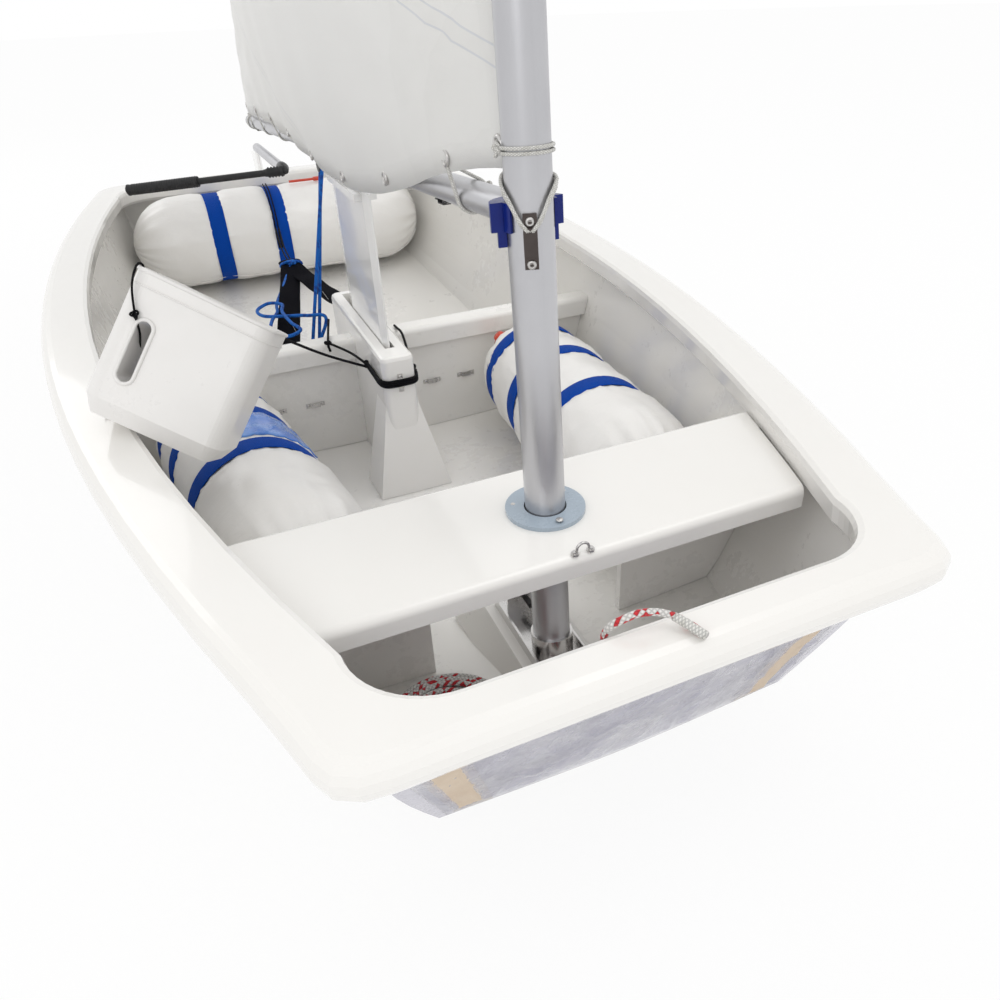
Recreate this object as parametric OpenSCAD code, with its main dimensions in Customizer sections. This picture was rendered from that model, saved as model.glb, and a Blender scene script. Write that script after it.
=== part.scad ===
// Small pram-bowed sailing dinghy with a sprit rig, afloat.
// Origin: on the centreline at mid length, at the waterline.
// +X is port, +Y is aft, +Z is up. Millimetres.

/* [Hull] */
// Length over the rim
hull_l = 2300; // [2100:10:2500]
// Widest beam over the rim
beam = 1126; // [1040:2:1200]
// Width over the rim at the bow
bow_w = 588; // [540:2:640]
// Width over the rim at the stern
stern_w = 920; // [860:2:980]
// Depth of the deepest point of the bottom below the waterline
draft = 64; // [50:1:90]
// Height of the rim's lowest point above the waterline
freeboard = 295; // [270:1:320]
// Thickness of the hull's skin
skin = 8; // [5:1:12]
// Width of the flat rim
rim_w = 82; // [70:1:95]
// Depth of the rim's rounded edge
rim_t = 40; // [34:1:46]
// How far the rim overhangs the hull's side
overhang = 40; // [30:1:46]

/* [Inside] */
// Distance from the bow's edge to the mast's hole
mast_s = 290; // [260:5:330]
// Length of the mast thwart, fore and aft
thwart_l = 192; // [170:2:220]
// Distance from the bow's edge to the front of the midship frame
frame_s = 1104; // [1060:2:1140]
// Length of the daggerboard's slot
slot_l = 336; // [320:2:350]
// Diameter of the inflated side bags
bag_d = 224; // [200:2:240]

/* [Rig] */
// Diameter of the mast
mast_d = 45; // [42:1:48]
// Length of the mast
mast_l = 2350; // [2200:10:2400]
// Rake of the mast, leaning aft
rake = 4; // [0:0.1:5]
// Diameter of the boom
boom_d = 32; // [30:1:38]
// Length of the boom, from the mast's centre to its aft end
boom_l = 2050; // [1900:10:2060]
// Diameter of the sprit
sprit_d = 27; // [25:1:30]

/* [Foils] */
// Width of the daggerboard, fore and aft
board_w = 285; // [270:1:290]
// Length of the daggerboard
board_l = 1067; // [1000:1:1080]
// Thickness of the daggerboard
board_t = 14.5; // [13:0.5:15]

/* [Hidden] */

// Stations along the hull and the ends of its bottom and of its topsides
y_bow = -hull_l / 2;
y_stern = hull_l / 2;
y_wide = 235;
y_deep = 150;
bow_foot_y = y_bow + 105;
bow_head_y = y_bow + 44;
stern_foot_y = y_stern - 46;
stern_head_y = y_stern - 24;
bow_rise = 122;
stern_rise = 110;
chine_w = 880;
chine_bow_w = 416;
chine_stern_w = 744;
stations = 26;

// Half widths and heights along the hull
function ease(y, y0, y1, n) = pow((y - y0) / (y1 - y0), n);
function swell(y, mid, bow, stern, y_mid, y_front, y_back, n) =
    y < y_mid ? mid - (mid - bow) * ease(y, y_mid, y_front, n)
              : mid - (mid - stern) * ease(y, y_mid, y_back, 2);
function half_rim(y) = swell(y, beam / 2, bow_w / 2, stern_w / 2, y_wide, y_bow, y_stern, 2.1);
function half_chine(y) =
    swell(y, chine_w / 2, chine_bow_w / 2, chine_stern_w / 2, y_wide, bow_foot_y, stern_foot_y, 2.1);
function rim_z(y) = freeboard - 2 + 17 * pow((y + 400) / (y_stern + 400), 2);
function keel_z(y) =
    -draft + (y < y_deep ? bow_rise * ease(y, y_deep, bow_foot_y, 2.6)
                         : stern_rise * ease(y, y_deep, stern_foot_y, 2));
function chine_z(y) = keel_z(y) + 12;
function side_bulge(v) = 10 * sin(180 * v);

// A point of the topsides: u runs from bow to stern, v from chine to rim, inset is the depth in the skin.
// The skins stop short of the transoms' inner faces.
end_gap = skin + 1;
bow_slope = (bow_head_y - bow_foot_y) / (rim_z(bow_head_y) - rim_t - chine_z(bow_foot_y));
stern_slope = (stern_head_y - stern_foot_y) / (rim_z(stern_head_y) - rim_t - chine_z(stern_foot_y));
function side_y(u, v) =
    let (front = bow_foot_y + (bow_head_y - bow_foot_y) * v + end_gap,
         back = stern_foot_y + (stern_head_y - stern_foot_y) * v - end_gap)
    front + (back - front) * u;
function section_point(y, v, inset) =
    let (low = [half_chine(y), chine_z(y)],
         top = [half_rim(y) - overhang, rim_z(y) - rim_t],
         run = top - low,
         across = [run[1], -run[0]] / norm(run),
         p = low + run * v + across * (side_bulge(v) - inset),
         lift = v == 0 ? inset : 0)
    [p[0], y, v == 1 ? top[1] - 0.4 : p[1] + lift];
function side_point(u, v, inset) = section_point(side_y(u, v), v, inset);
function bottom_point(u, w, inset) =
    let (edge = side_point(u, 0, inset), dip = (1 - pow(abs(w), 1.6)) * 12)
    [edge[0] * w, edge[1] - dip * (bow_slope + (stern_slope - bow_slope) * u), edge[2] - dip];

// Closed solid through rings of points, each ring the same length.
// From the point numbered turn on, the sides' triangles lean the other way.
module loft(rings, turn = 1000) {
    n = len(rings[0]);
    m = len(rings);
    polyhedron(
        points = [for (r = rings) each r],
        faces = concat(
            [[for (j = [0 : n - 1]) n - 1 - j]],
            [for (i = [0 : m - 2]) for (j = [0 : n - 1])
                let (k = (j + 1) % n)
                each j < turn
                    ? [[i * n + j, i * n + k, (i + 1) * n + k], [i * n + j, (i + 1) * n + k, (i + 1) * n + j]]
                    : [[i * n + j, i * n + k, (i + 1) * n + j], [i * n + k, (i + 1) * n + k, (i + 1) * n + j]]],
            [[for (j = [0 : n - 1]) (m - 1) * n + j]]
        ),
        convexity = 6
    );
}

// A skin panel between an outer and an inner grid; u runs along the hull
module skin_strip(outer, inner) {
    rows = len(outer[0]);
    loft([for (i = [0 : stations])
        concat(outer[i], [for (j = [rows - 1 : -1 : 0]) inner[i][j]])], rows);
}

module topside() {
    rows = 6;
    function column(i, inset) = [for (j = [0 : rows])
        let (p = side_point(i / stations, j / rows, inset)) [-p[0], p[1], p[2]]];
    skin_strip([for (i = [0 : stations]) column(i, skin)], [for (i = [0 : stations]) column(i, 0)]);
}

module hull_bottom() {
    rows = 10;
    function row(i, inset) = [for (j = [0 : rows]) bottom_point(i / stations, 2 * j / rows - 1, inset)];
    color("white") difference() {
        skin_strip([for (i = [0 : stations]) row(i, 0)], [for (i = [0 : stations]) row(i, skin)]);
        translate([-slot_w / 2, slot_front, -draft - 20]) cube([slot_w, slot_l, 100]);
    }
}

module hull_side_port() {
    color("white") mirror([1, 0, 0]) topside();
}

module hull_side_starboard() {
    color("white") topside();
}

// The flat end of the hull, as a ring along its bottom and up both sides, at a depth behind its face
function end_ring(foot_y, head_y, depth) =
    let (foot_z = chine_z(foot_y),
         head_z = rim_z(head_y) - rim_t - 0.6,
         slope = (head_y - foot_y) / (head_z - foot_z))
    [for (q = concat(
        [for (j = [0 : 10]) let (w = 2 * j / 10 - 1)
            [half_chine(foot_y + depth) * w, 0, chine_z(foot_y + depth) - (1 - pow(abs(w), 1.6)) * 12]],
        [for (j = [1 : 6]) section_point(foot_y + (head_y - foot_y) * j / 6 + depth, j / 6, 0)],
        [for (j = [6 : -1 : 1])
            let (p = section_point(foot_y + (head_y - foot_y) * j / 6 + depth, j / 6, 0)) [-p[0], p[1], p[2]]]))
        let (z = min(q[2], head_z - 0.4)) [q[0], foot_y + (z - foot_z) * slope + depth, z]];

module bow_transom() {
    color("white") loft([end_ring(bow_foot_y, bow_head_y, 0), end_ring(bow_foot_y, bow_head_y, skin)]);
}

module stern_transom() {
    color("white") loft([end_ring(stern_foot_y, stern_head_y, -skin), end_ring(stern_foot_y, stern_head_y, 0)]);
}

// The rim: a loop of stations, each joining a point of the outer edge to one of the inner edge
bow_rim_w = 54;
bow_fillet = 78;
stern_fillet = 90;
arc_steps = 6;
bow_arc_y = y_bow + bow_rim_w + bow_fillet;
stern_arc_y = y_stern - rim_w - stern_fillet;
function inner_rim(y) = half_rim(y) - rim_w;
function rounded_reach(a, b, n) = pow(pow(a, -n) + pow(b, -n), -1 / n);

// Inner and outer points round a corner, seen from the middle of its fillet
function corner_pair(angle, arc_y, radius, end_y, n) =
    let (x = inner_rim(arc_y) - radius,
         d = [cos(angle), sin(angle)],
         to_side = (half_rim(arc_y + d[1] * radius * 1.7) - x) / max(d[0], 0.001),
         to_end = (end_y - arc_y) / (abs(d[1]) < 0.001 ? 0.001 * sign(end_y) : d[1]),
         reach = rounded_reach(to_side, abs(to_end), n))
    [[x + d[0] * reach, arc_y + d[1] * reach], [x + d[0] * radius, arc_y + d[1] * radius]];
function side_pair(y) = [[half_rim(y), y], [inner_rim(y), y]];

// A section of the rim across a pair, with its rounded outer edge and its turned-down inner edge
function rim_section(pair, side) =
    let (o = pair[0], i = pair[1], w = norm(o - i), d = (o - i) / w, r = rim_t / 2,
         z = rim_z((o[1] + i[1]) / 2))
    [for (q = concat(
        [for (a = [90 : -22.5 : -90]) [-r + r * cos(a), -r + r * sin(a)]],
        [[-w + 10, -rim_t], [-w + 3, -rim_t + 8], [-w, -10], [-w + 2, -3], [-w + 8, 0]]))
        let (p = o + d * q[0]) [side * p[0], p[1], z + q[1]]];

bow_mitre = -45;
stern_mitre = 45;
function side_stations() = concat(
    [for (k = [0 : arc_steps]) corner_pair(bow_mitre * (1 - k / arc_steps), bow_arc_y, bow_fillet, y_bow, 9)],
    [for (k = [1 : 19]) side_pair(bow_arc_y + (stern_arc_y - bow_arc_y) * k / 20)],
    [for (k = [0 : arc_steps]) corner_pair(stern_mitre * k / arc_steps, stern_arc_y, stern_fillet, y_stern, 5)]
);

module side_deck(side) {
    rings = [for (p = side_stations()) rim_section(p, side)];
    n = len(rings);
    loft(side > 0 ? [for (k = [n - 1 : -1 : 0]) rings[k]] : rings);
}

module end_deck(arc_y, radius, end_y, n, from, to) {
    half = [for (k = [0 : arc_steps])
        corner_pair(from + (to - from) * k / arc_steps, arc_y, radius, end_y, n)];
    rings = concat(
        [for (p = half) rim_section(p, 1)],
        [for (k = [arc_steps : -1 : 0]) rim_section(half[k], -1)]
    );
    m = len(rings);
    loft(end_y > 0 ? [for (k = [m - 1 : -1 : 0]) rings[k]] : rings);
}

module side_deck_port() {
    color("white") side_deck(1);
}

module side_deck_starboard() {
    color("white") side_deck(-1);
}

module bow_deck() {
    color("white") end_deck(bow_arc_y, bow_fillet, y_bow, 9, bow_mitre, -90);
}

module stern_deck() {
    color("white") end_deck(stern_arc_y, stern_fillet, y_stern, 5, stern_mitre, 90);
}

// Inside of the hull
thwart_z = freeboard - 30;
mast_y = y_bow + mast_s;
thwart_front = mast_y - thwart_l / 2;
thwart_back = mast_y + thwart_l / 2;
frame_y = y_bow + frame_s;
frame_z = thwart_z - 82;
frame_rail_l = 50;
frame_rail_t = 40;
case_z = thwart_z - 44;
case_front = frame_y - 214;
case_back = frame_y + 190;
slot_front = frame_y - 168;
slot_back = slot_front + slot_l;
slot_w = board_t + 3;
flange_d = 90;
flange_t = 5;
mast_gap = 1.5;
step_z = thwart_z - 206;
bulkhead_y = mast_y + 52;
touch = 0.02;

function floor_z(y, x = 0) = keel_z(y) + skin + 12 * pow(abs(x) / half_chine(y), 1.6);
seat_gap = 0.8;

// The solid space inside the skin between two stations, for trimming what stands on the floor
module inside(y0, y1, steps) {
    loft([for (k = [0 : steps])
        let (y = y0 + (y1 - y0) * k / steps)
        concat(
            [for (j = [0 : 10]) inside_low(y, 2 * j / 10 - 1)],
            [for (j = [1 : 6]) inside_side(y, j / 6, 1)],
            [for (j = [6 : -1 : 1]) inside_side(y, j / 6, -1)]
        )]);
}
function inside_side(y, v, side) =
    let (p = section_point(y, v, skin + seat_gap)) [side * p[0], y, p[2]];
function inside_low(y, w) =
    let (edge = section_point(y, 0, skin + seat_gap))
    [edge[0] * w, y, edge[2] - (1 - pow(abs(w), 1.6)) * 12];

// A plan outline between two stations, as wide as the rim's inner edges less a gap
function plan(y0, y1, gap) = concat(
    [for (k = [0 : 6]) let (y = y0 + (y1 - y0) * k / 6) [inner_rim(y) - gap, y]],
    [for (k = [6 : -1 : 0]) let (y = y0 + (y1 - y0) * k / 6) [gap - inner_rim(y), y]]
);
module along_x(length) {
    translate([-length / 2, 0, 0]) rotate([90, 0, 90]) linear_extrude(length) children();
}
module on_mast(h = 0) {
    translate([0, mast_y, thwart_z]) rotate([-rake, 0, 0]) translate([0, 0, h]) children();
}

thwart_t = 12;
thwart_lip = 26;
module thwart_profile() {
    half = thwart_l / 2;
    difference() {
        union() {
            translate([-half + 10, -thwart_lip]) square([thwart_l - 20, thwart_lip]);
            translate([-half, -thwart_lip]) square([thwart_l, thwart_lip - 10]);
            translate([-half + 10, -10]) circle(10, $fn = 32);
            translate([half - 10, -10]) circle(10, $fn = 32);
        }
        translate([-half + 12, -thwart_lip - 1]) square([thwart_l - 24, thwart_lip - thwart_t + 1]);
    }
}
module mast_thwart() {
    color("white") difference() {
        intersection() {
            translate([0, mast_y, thwart_z]) along_x(beam) thwart_profile();
            translate([0, 0, thwart_z - 40])
                linear_extrude(60) polygon(plan(thwart_front - 1, thwart_back + 1, 1));
        }
        on_mast(-30) cylinder(h = 60, r = mast_d / 2 + 6, $fn = 48);
    }
}

bulkhead_t = 10;
bulkhead_gap = 270;
module mast_bulkhead() {
    color("white") difference() {
        intersection() {
            inside(bulkhead_y - 40, bulkhead_y + 40, 2);
            translate([-beam / 2, bulkhead_y, keel_z(bulkhead_y)])
                cube([beam, bulkhead_t, thwart_z - thwart_t - touch - keel_z(bulkhead_y)]);
        }
        translate([-bulkhead_gap / 2, bulkhead_y - 1, 0])
            cube([bulkhead_gap, bulkhead_t + 2, thwart_z]);
    }
}

module rail_profile() {
    r = 10;
    hull() {
        translate([r, -r]) circle(r, $fn = 32);
        translate([frame_rail_l - r, -r]) circle(r, $fn = 32);
        translate([2, -frame_rail_t]) square([frame_rail_l - 4, 4]);
    }
}
panel_t = 14;
module midship_frame() {
    color("white") difference() {
        intersection() {
            inside(frame_y - 30, frame_y + frame_rail_l + 30, 3);
            union() {
                translate([0, frame_y, frame_z]) along_x(beam) rail_profile();
                translate([-beam / 2, frame_y + 18, -draft])
                    cube([beam, panel_t, frame_z + draft - 8]);
            }
        }
        translate([-case_half_w - touch, case_front, -draft])
            cube([2 * case_half_w + 2 * touch, case_back - case_front, case_z + draft]);
        for (side = [-1, 1])
            translate([side * 150, frame_y, -draft]) rotate([-90, 0, 0])
                cylinder(h = 60, r = 14, $fn = 32);
    }
}

// The case round the daggerboard's slot, which runs down through the bottom
case_half_w = 30;
case_foot = 44;
module case_outline(grow, round) {
    x = case_half_w + grow;
    hull()
        for (sx = [-1, 1]) {
            translate([sx * (x - round), case_front + round - grow]) circle(round, $fn = 32);
            translate([sx * (x - round), case_back - round + grow]) circle(round, $fn = 32);
        }
}
module daggerboard_case() {
    floor = -draft - 1;
    color("white") difference() {
        union() {
            intersection() {
                hull() {
                    translate([0, 0, case_z - 8]) linear_extrude(0.01) case_outline(0, 12);
                    translate([0, 0, case_z - 2.5]) linear_extrude(0.01) case_outline(-2, 10);
                    translate([0, 0, case_z - 0.01]) linear_extrude(0.01) case_outline(-6, 8);
                    translate([0, 0, floor]) linear_extrude(0.01) case_outline(0, 12);
                }
                translate([-beam / 2, case_front - 60, floor]) cube([beam, case_back - case_front + 120, 400]);
            }
            hull() {
                translate([0, 0, case_z - 90]) linear_extrude(0.01) translate([0, case_front + 40])
                    square([2 * case_half_w - 2, 60], center = true);
                translate([0, 0, floor]) linear_extrude(0.01) translate([0, case_front + 20])
                    square([2 * case_half_w + 2 * case_foot, 100], center = true);
            }
        }
        translate([-slot_w / 2, slot_front, floor - 1]) cube([slot_w, slot_l, 500]);
        below(case_front - 80, case_back + 40);
    }
}

// Everything under the inner face of the bottom
module below(y0, y1) {
    loft([for (k = [0 : 14])
        let (y = y0 + (y1 - y0) * k / 14)
        concat(
            [[-beam / 2, y, -draft - 60]],
            [[beam / 2, y, -draft - 60]],
            [for (j = [10 : -1 : 0])
                let (w = 2 * j / 10 - 1, p = inside_low(y, w)) [p[0], y, p[2]]]
        )]);
}

module mast_flange() {
    color("lightsteelblue") difference() {
        translate([0, mast_y, thwart_z]) {
            cylinder(h = flange_t, r = flange_d / 2, $fn = 72);
            translate([0, 0, -20]) cylinder(h = 20 + touch, r = mast_d / 2 + 5, $fn = 64);
        }
        on_mast(-40) cylinder(h = 80, r = mast_d / 2 + mast_gap, $fn = 64);
        for (a = [30, 150, 270])
            translate([0, mast_y, thwart_z]) rotate([0, 0, a]) translate([36.5, 0, -1])
                cylinder(h = 10, r = 2.2, $fn = 24);
    }
}

// The step: a raised pad on the floor, a stainless channel with the mast's cup, and its screw's knob
pad_w = 92;
pad_l = 190;
pad_y = mast_y - 60;
step_w = 66;
step_t = 3;
module mast_step_pad() {
    color("white") difference() {
        hull() {
            translate([-pad_w / 2, pad_y, step_z - 10]) cube([pad_w, pad_l, 10 - touch]);
            translate([-pad_w / 2 - 25, pad_y - 30, 0]) cube([pad_w + 50, pad_l + 60, 10]);
        }
        below(pad_y - 80, pad_y + pad_l + 80);
    }
}
cup_h = 34;
module mast_step() {
    foot = (thwart_z - step_z) / cos(rake);
    color("silver") difference() {
        union() {
            translate([-step_w / 2, mast_y - 54, step_z]) cube([step_w, 150, step_t]);
            for (side = [-1, 1])
                translate([side * (step_w / 2 - step_t / 2) - step_t / 2, mast_y - 54, step_z])
                    cube([step_t, 150, 16]);
            intersection() {
                on_mast(-foot - 10) cylinder(h = cup_h + 10, r = mast_d / 2 + 3.1, $fn = 64);
                translate([-50, mast_y - 80, step_z]) cube([100, 160, 100]);
            }
            translate([-step_w / 2 + 6, mast_y + 62, step_z]) cube([step_w - 12, step_t, 38]);
        }
        on_mast(-foot + 4) cylinder(h = 100, r = mast_d / 2 + 0.1, $fn = 64);
        translate([0, mast_y + 50, step_z + 25]) rotate([-90, 0, 0]) cylinder(h = 40, r = 4.05, $fn = 32);
    }
}
module mast_step_knob() {
    lobes = 8;
    color("dimgray") translate([0, mast_y + 66.1, step_z + 25]) rotate([-90, 0, 0]) {
        difference() {
            cylinder(h = 20, r = 20, $fn = 64);
            for (k = [0 : lobes - 1])
                rotate([0, 0, k * 360 / lobes]) translate([21.5, 0, -1]) cylinder(h = 22, r = 4.5, $fn = 24);
        }
        translate([0, 0, -18]) cylinder(h = 18 + touch, r = 4, $fn = 32);
    }
}

// A bent wire eye over two screw heads
module wire_eye() {
    y = thwart_front + 6;
    color("silver") translate([0, y, thwart_z + touch]) {
        for (side = [-1, 1]) translate([side * 9, 0, 0]) {
            cylinder(h = 2, r = 4.5, $fn = 32);
            translate([0, 0, 2]) cylinder(h = 2, r = 3, $fn = 32);
        }
        translate([0, 0, 5]) rotate([90, 0, 0]) rotate_extrude(angle = 180, $fn = 48)
            translate([7, 0]) circle(1.6, $fn = 16);
    }
}

// Strap eyes: a plate at each end and a raised bridge between them, along X
module strap_eye(length, width) {
    rise = 5;
    t = 1.5;
    difference() {
        union() {
            translate([-length / 2, -width / 2, 0]) cube([length, width, t]);
            translate([-length / 4, -width / 2, 0]) cube([length / 2, width, rise]);
        }
        translate([-length / 4 + t, -width, -1]) cube([length / 2 - 2 * t, 2 * width, rise - t + 1]);
    }
}
frame_eyes = [-202, -125, 125, 202];
module eye_straps() {
    color("dimgray") {
        for (x = frame_eyes)
            translate([x, frame_y + 18 - touch, frame_z - 128]) rotate([90, 0, 0]) strap_eye(38, 9);
        translate([0, case_front - touch, case_z - 49]) rotate([90, 0, 0]) rotate([0, 0, 90]) strap_eye(34, 9);
    }
}

// Inflated bags: a cylinder with soft round ends, lying along a line
module bag(length, d, nose, tail) {
    r = d / 2;
    rotate_extrude($fn = 64) {
        polygon(concat(
            [[0, 0]],
            [for (a = [0 : 9 : 90]) [r * sin(a) * 0.86 + r * 0.14, nose - nose * cos(a)]],
            [for (a = [0 : 9 : 90]) [r * cos(a) * 0.86 + r * 0.14, length - tail + tail * sin(a)]],
            [[0, length]]));
    }
}
bag_foot = [238, mast_y + 85, 121];
bag_head = [327, frame_y - 20, 72];
bag_run = bag_head - bag_foot;
bag_l = norm(bag_run);
strap_w = 42;
strap_t = 1.6;
module at_side_bag(side) {
    mirror([side < 0 ? 1 : 0, 0, 0])
        translate(bag_foot)
            rotate([0, acos(bag_run[2] / bag_l), atan2(bag_run[1], bag_run[0])]) children();
}
module airbag_port() {
    color("white") at_side_bag(1) bag(bag_l, bag_d, 170, 80);
}
module airbag_starboard() {
    color("white") at_side_bag(-1) bag(bag_l, bag_d, 170, 80);
}
stern_bag_l = 820;
stern_bag_d = 250;
stern_bag_y = y_stern - 194;
stern_bag_z = 172;
module at_stern_bag() {
    translate([-stern_bag_l / 2, stern_bag_y, stern_bag_z]) rotate([0, 90, 0]) children();
}
module airbag_stern() {
    color("white") at_stern_bag() bag(stern_bag_l, stern_bag_d, 125, 125);
}
module strap_ring(d) {
    rotate_extrude($fn = 96) translate([d / 2 + 0.4, -strap_w / 2]) square([strap_t, strap_w]);
}
module airbag_straps() {
    color("royalblue") {
        for (side = [-1, 1]) at_side_bag(side)
            for (s = side == 1 ? [285, 460, 615] : [340, 500, 615]) translate([0, 0, s]) strap_ring(bag_d);
        at_stern_bag() for (s = [228, 395, 618]) translate([0, 0, s]) strap_ring(stern_bag_d);
    }
}
module inflation_tubes() {
    color("orangered") {
        translate([40, stern_bag_y - 20, stern_bag_z + stern_bag_d / 2 + 6])
            rotate([0, 90, 0]) {
                cylinder(h = 70, r = 3.5, $fn = 24);
                translate([0, 0, 70]) cylinder(h = 16, r = 6, $fn = 24);
            }
    }
}

// Toe straps from the frame and from the board's case to where they meet ahead of the stern bag
toe_w = 46;
toe_t = 3;
toe_meet = [-50, 535, 184];
toe_feet = [[-150, frame_y + frame_rail_l + 7, frame_z - 11], [-6, case_back + 3, case_z - 26]];
module hiking_straps() {
    color("dimgray") for (foot = toe_feet) {
        run = toe_meet - foot;
        translate(foot) rotate([0, 0, atan2(run[1], run[0])])
            rotate([0, atan2(-run[2], norm([run[0], run[1]])), 0])
                translate([0, -toe_w / 2, 0]) cube([norm(run), toe_w, toe_t]);
    }
}

// Rudder's hanging: the axis stands off the raked transom
transom_foot = [stern_foot_y, chine_z(stern_foot_y)];
transom_head = [stern_head_y, rim_z(stern_head_y) - rim_t];
transom_run = transom_head - transom_foot;
rudder_rake = atan2(transom_run[0], transom_run[1]);
stand_off = 44;
pin_r = 4;
lower_h = 30;
upper_h = 176;
barrel_h = 14;
module on_rudder() {
    translate([0, transom_foot[0], transom_foot[1]]) rotate([-rudder_rake, 0, 0])
        translate([0, stand_off, 0]) children();
}
module rudder_gudgeons() {
    color("silver") on_rudder() for (h = [lower_h, upper_h])
        difference() {
            union() {
                translate([-28, -stand_off + 0.2, h - 8]) cube([56, 2.5, 30]);
                for (x = [-9, 7]) translate([x, -stand_off + 0.2, h]) cube([2, stand_off - 4, barrel_h]);
                translate([0, 0, h]) cylinder(h = barrel_h, r = 9, $fn = 48);
            }
            translate([0, 0, h - 1]) cylinder(h = barrel_h + 2, r = pin_r + 0.05, $fn = 48);
            for (x = [-20, 20]) translate([x, -stand_off - 5, h + 7])
                rotate([-90, 0, 0]) cylinder(h = 12, r = 2.5, $fn = 24);
        }
}
module drain_plugs() {
    color("white") for (x = [-150, 150])
        translate([x, transom_foot[0], transom_foot[1]]) rotate([-rudder_rake, 0, 0])
            translate([0, 0.2, 22]) rotate([-90, 0, 0]) {
                cylinder(h = 3, r = 19, $fn = 48);
                translate([0, 0, 3]) cylinder(h = 5, r = 13, $fn = 48);
            }
}
block_at = [-115, 90];
module floor_block() {
    z = floor_z(block_at[1], block_at[0] - 16) + 2.4;
    color("dimgray") translate([block_at[0], block_at[1], z]) {
        cylinder(h = 4, r = 16, $fn = 48);
        translate([0, 0, 4]) cylinder(h = 18, r = 5, $fn = 32);
        translate([0, 0, 36]) rotate([90, 0, 0]) difference() {
            union() {
                for (s = [-8, 5]) translate([0, 0, s]) cylinder(h = 3, r = 17, $fn = 48);
                translate([0, 0, -8]) cylinder(h = 16, r = 6, $fn = 32);
                translate([0, 0, -5]) cylinder(h = 10, r = 13, $fn = 48);
            }
            translate([0, 0, -10]) cylinder(h = 20, r = 2.5, $fn = 24);
        }
    }
}

// A bailer cut from a jug, leaning over the starboard rim on the bag
bail_w = 180;
bail_h = 190;
bail_d = 102;
bail_t = 2;
bail_at = [-346, -519, 375];
bail_turn = [-29.1, 26.7, -32];
module bail_block(inset) {
    r = 22 - inset;
    translate([0, bail_d / 2, -bail_h / 2 + inset]) hull()
        for (x = [-1, 1]) for (y = [-1, 1])
            translate([x * (bail_w / 2 - 22), y * (bail_d / 2 - 22), 0]) {
                translate([0, 0, r]) cylinder(h = bail_h - r, r = r, $fn = 32);
                translate([0, 0, 0]) cylinder(h = 1, r = r - 12, $fn = 32);
            }
}
module bail_slot(r) {
    translate([-bail_w / 2 + 41, -20, 0]) rotate([-90, 0, 0]) hull()
        for (z = [-33, 28]) translate([0, -z, 0]) cylinder(h = bail_d + 40, r = r, $fn = 32);
}
module bailer() {
    color("whitesmoke") translate(bail_at) rotate(bail_turn) difference() {
        union() {
            difference() {
                bail_block(0);
                bail_block(bail_t);
            }
            intersection() {
                bail_block(bail_t / 2);
                bail_slot(12);
            }
        }
        bail_slot(10);
        translate([-bail_w, -10, bail_h / 2 - 0.5]) cube([2 * bail_w, 2 * bail_d, 50]);
    }
}

// Sweeps a round tube along a route, as one closed solid
function unit(v) = v / norm(v);
function spline(route, t) =
    let (n = len(route), i = min(floor(t), n - 2), f = t - i,
         a = route[max(i - 1, 0)], b = route[i], c = route[i + 1], d = route[min(i + 2, n - 1)])
    0.5 * (2 * b + (c - a) * f + (2 * a - 5 * b + 4 * c - d) * f * f + (3 * b - a - 3 * c + d) * f * f * f);
module tube(route, d, rings, sides) {
    n = len(route);
    function at(k) = spline(route, (n - 1) * k / rings);
    function way(k) = unit(at(min(k + 1, rings)) - at(max(k - 1, 0)));
    function frame_at(k, prev) = unit(prev - (prev * way(k)) * way(k));
    normals = [for (k = 0, v = frame_at(0, [0.3, 0.2, 1]); k <= rings; k = k + 1,
        v = k <= rings ? frame_at(k, v) : v) v];
    loft([for (k = [0 : rings]) [for (j = [0 : sides - 1])
        let (a = -360 * j / sides, u = normals[k], w = cross(way(k), u))
        at(k) + d / 2 * (cos(a) * u + sin(a) * w)]]);
}

// Painter: tied at the mast step, coiled in the bow well, its end laid over the bow deck
painter_d = 7;
coil_mid_d = 106;
coil_w = 38;
coil_h = 38;
coil_at = [-156, -936];
coil_z = 54;
coil_tilt = [-11, 3];
painter_tie = [
    [-12, -922, 76], [-22, -924, 76], [-34, -926, 73], [-48, -928, 69], [-60, -930, 67], [-70, -932, 66], [-80, -934, 66]
];
painter_end = [
    [-94, -979, 68], [-89, -989, 68], [-82, -1002, 70], [-75, -1020, 78], [-68, -1034, 102], [-62, -1048, 140],
    [-58, -1062, 180], [-55, -1076, 220], [-54, -1086, 260], [-53, -1089, 288], [-50, -1095, 303],
    [-42, -1100, 311], [-28, -1103, 315], [-10, -1107, 312], [4, -1114, 306], [12, -1124, 302], [16, -1138, 301]
];
module painter() {
    color("whitesmoke") {
        tube(painter_tie, painter_d, 12, 8);
        tube(painter_end, painter_d, 46, 8);
    }
}
module painter_coil() {
    color("whitesmoke") translate([coil_at[0], coil_at[1], coil_z])
        rotate([coil_tilt[0], coil_tilt[1], 0]) rotate_extrude($fn = 64)
            translate([coil_mid_d / 2 - coil_w / 2, 0]) square([coil_w, coil_h]);
}

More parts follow.
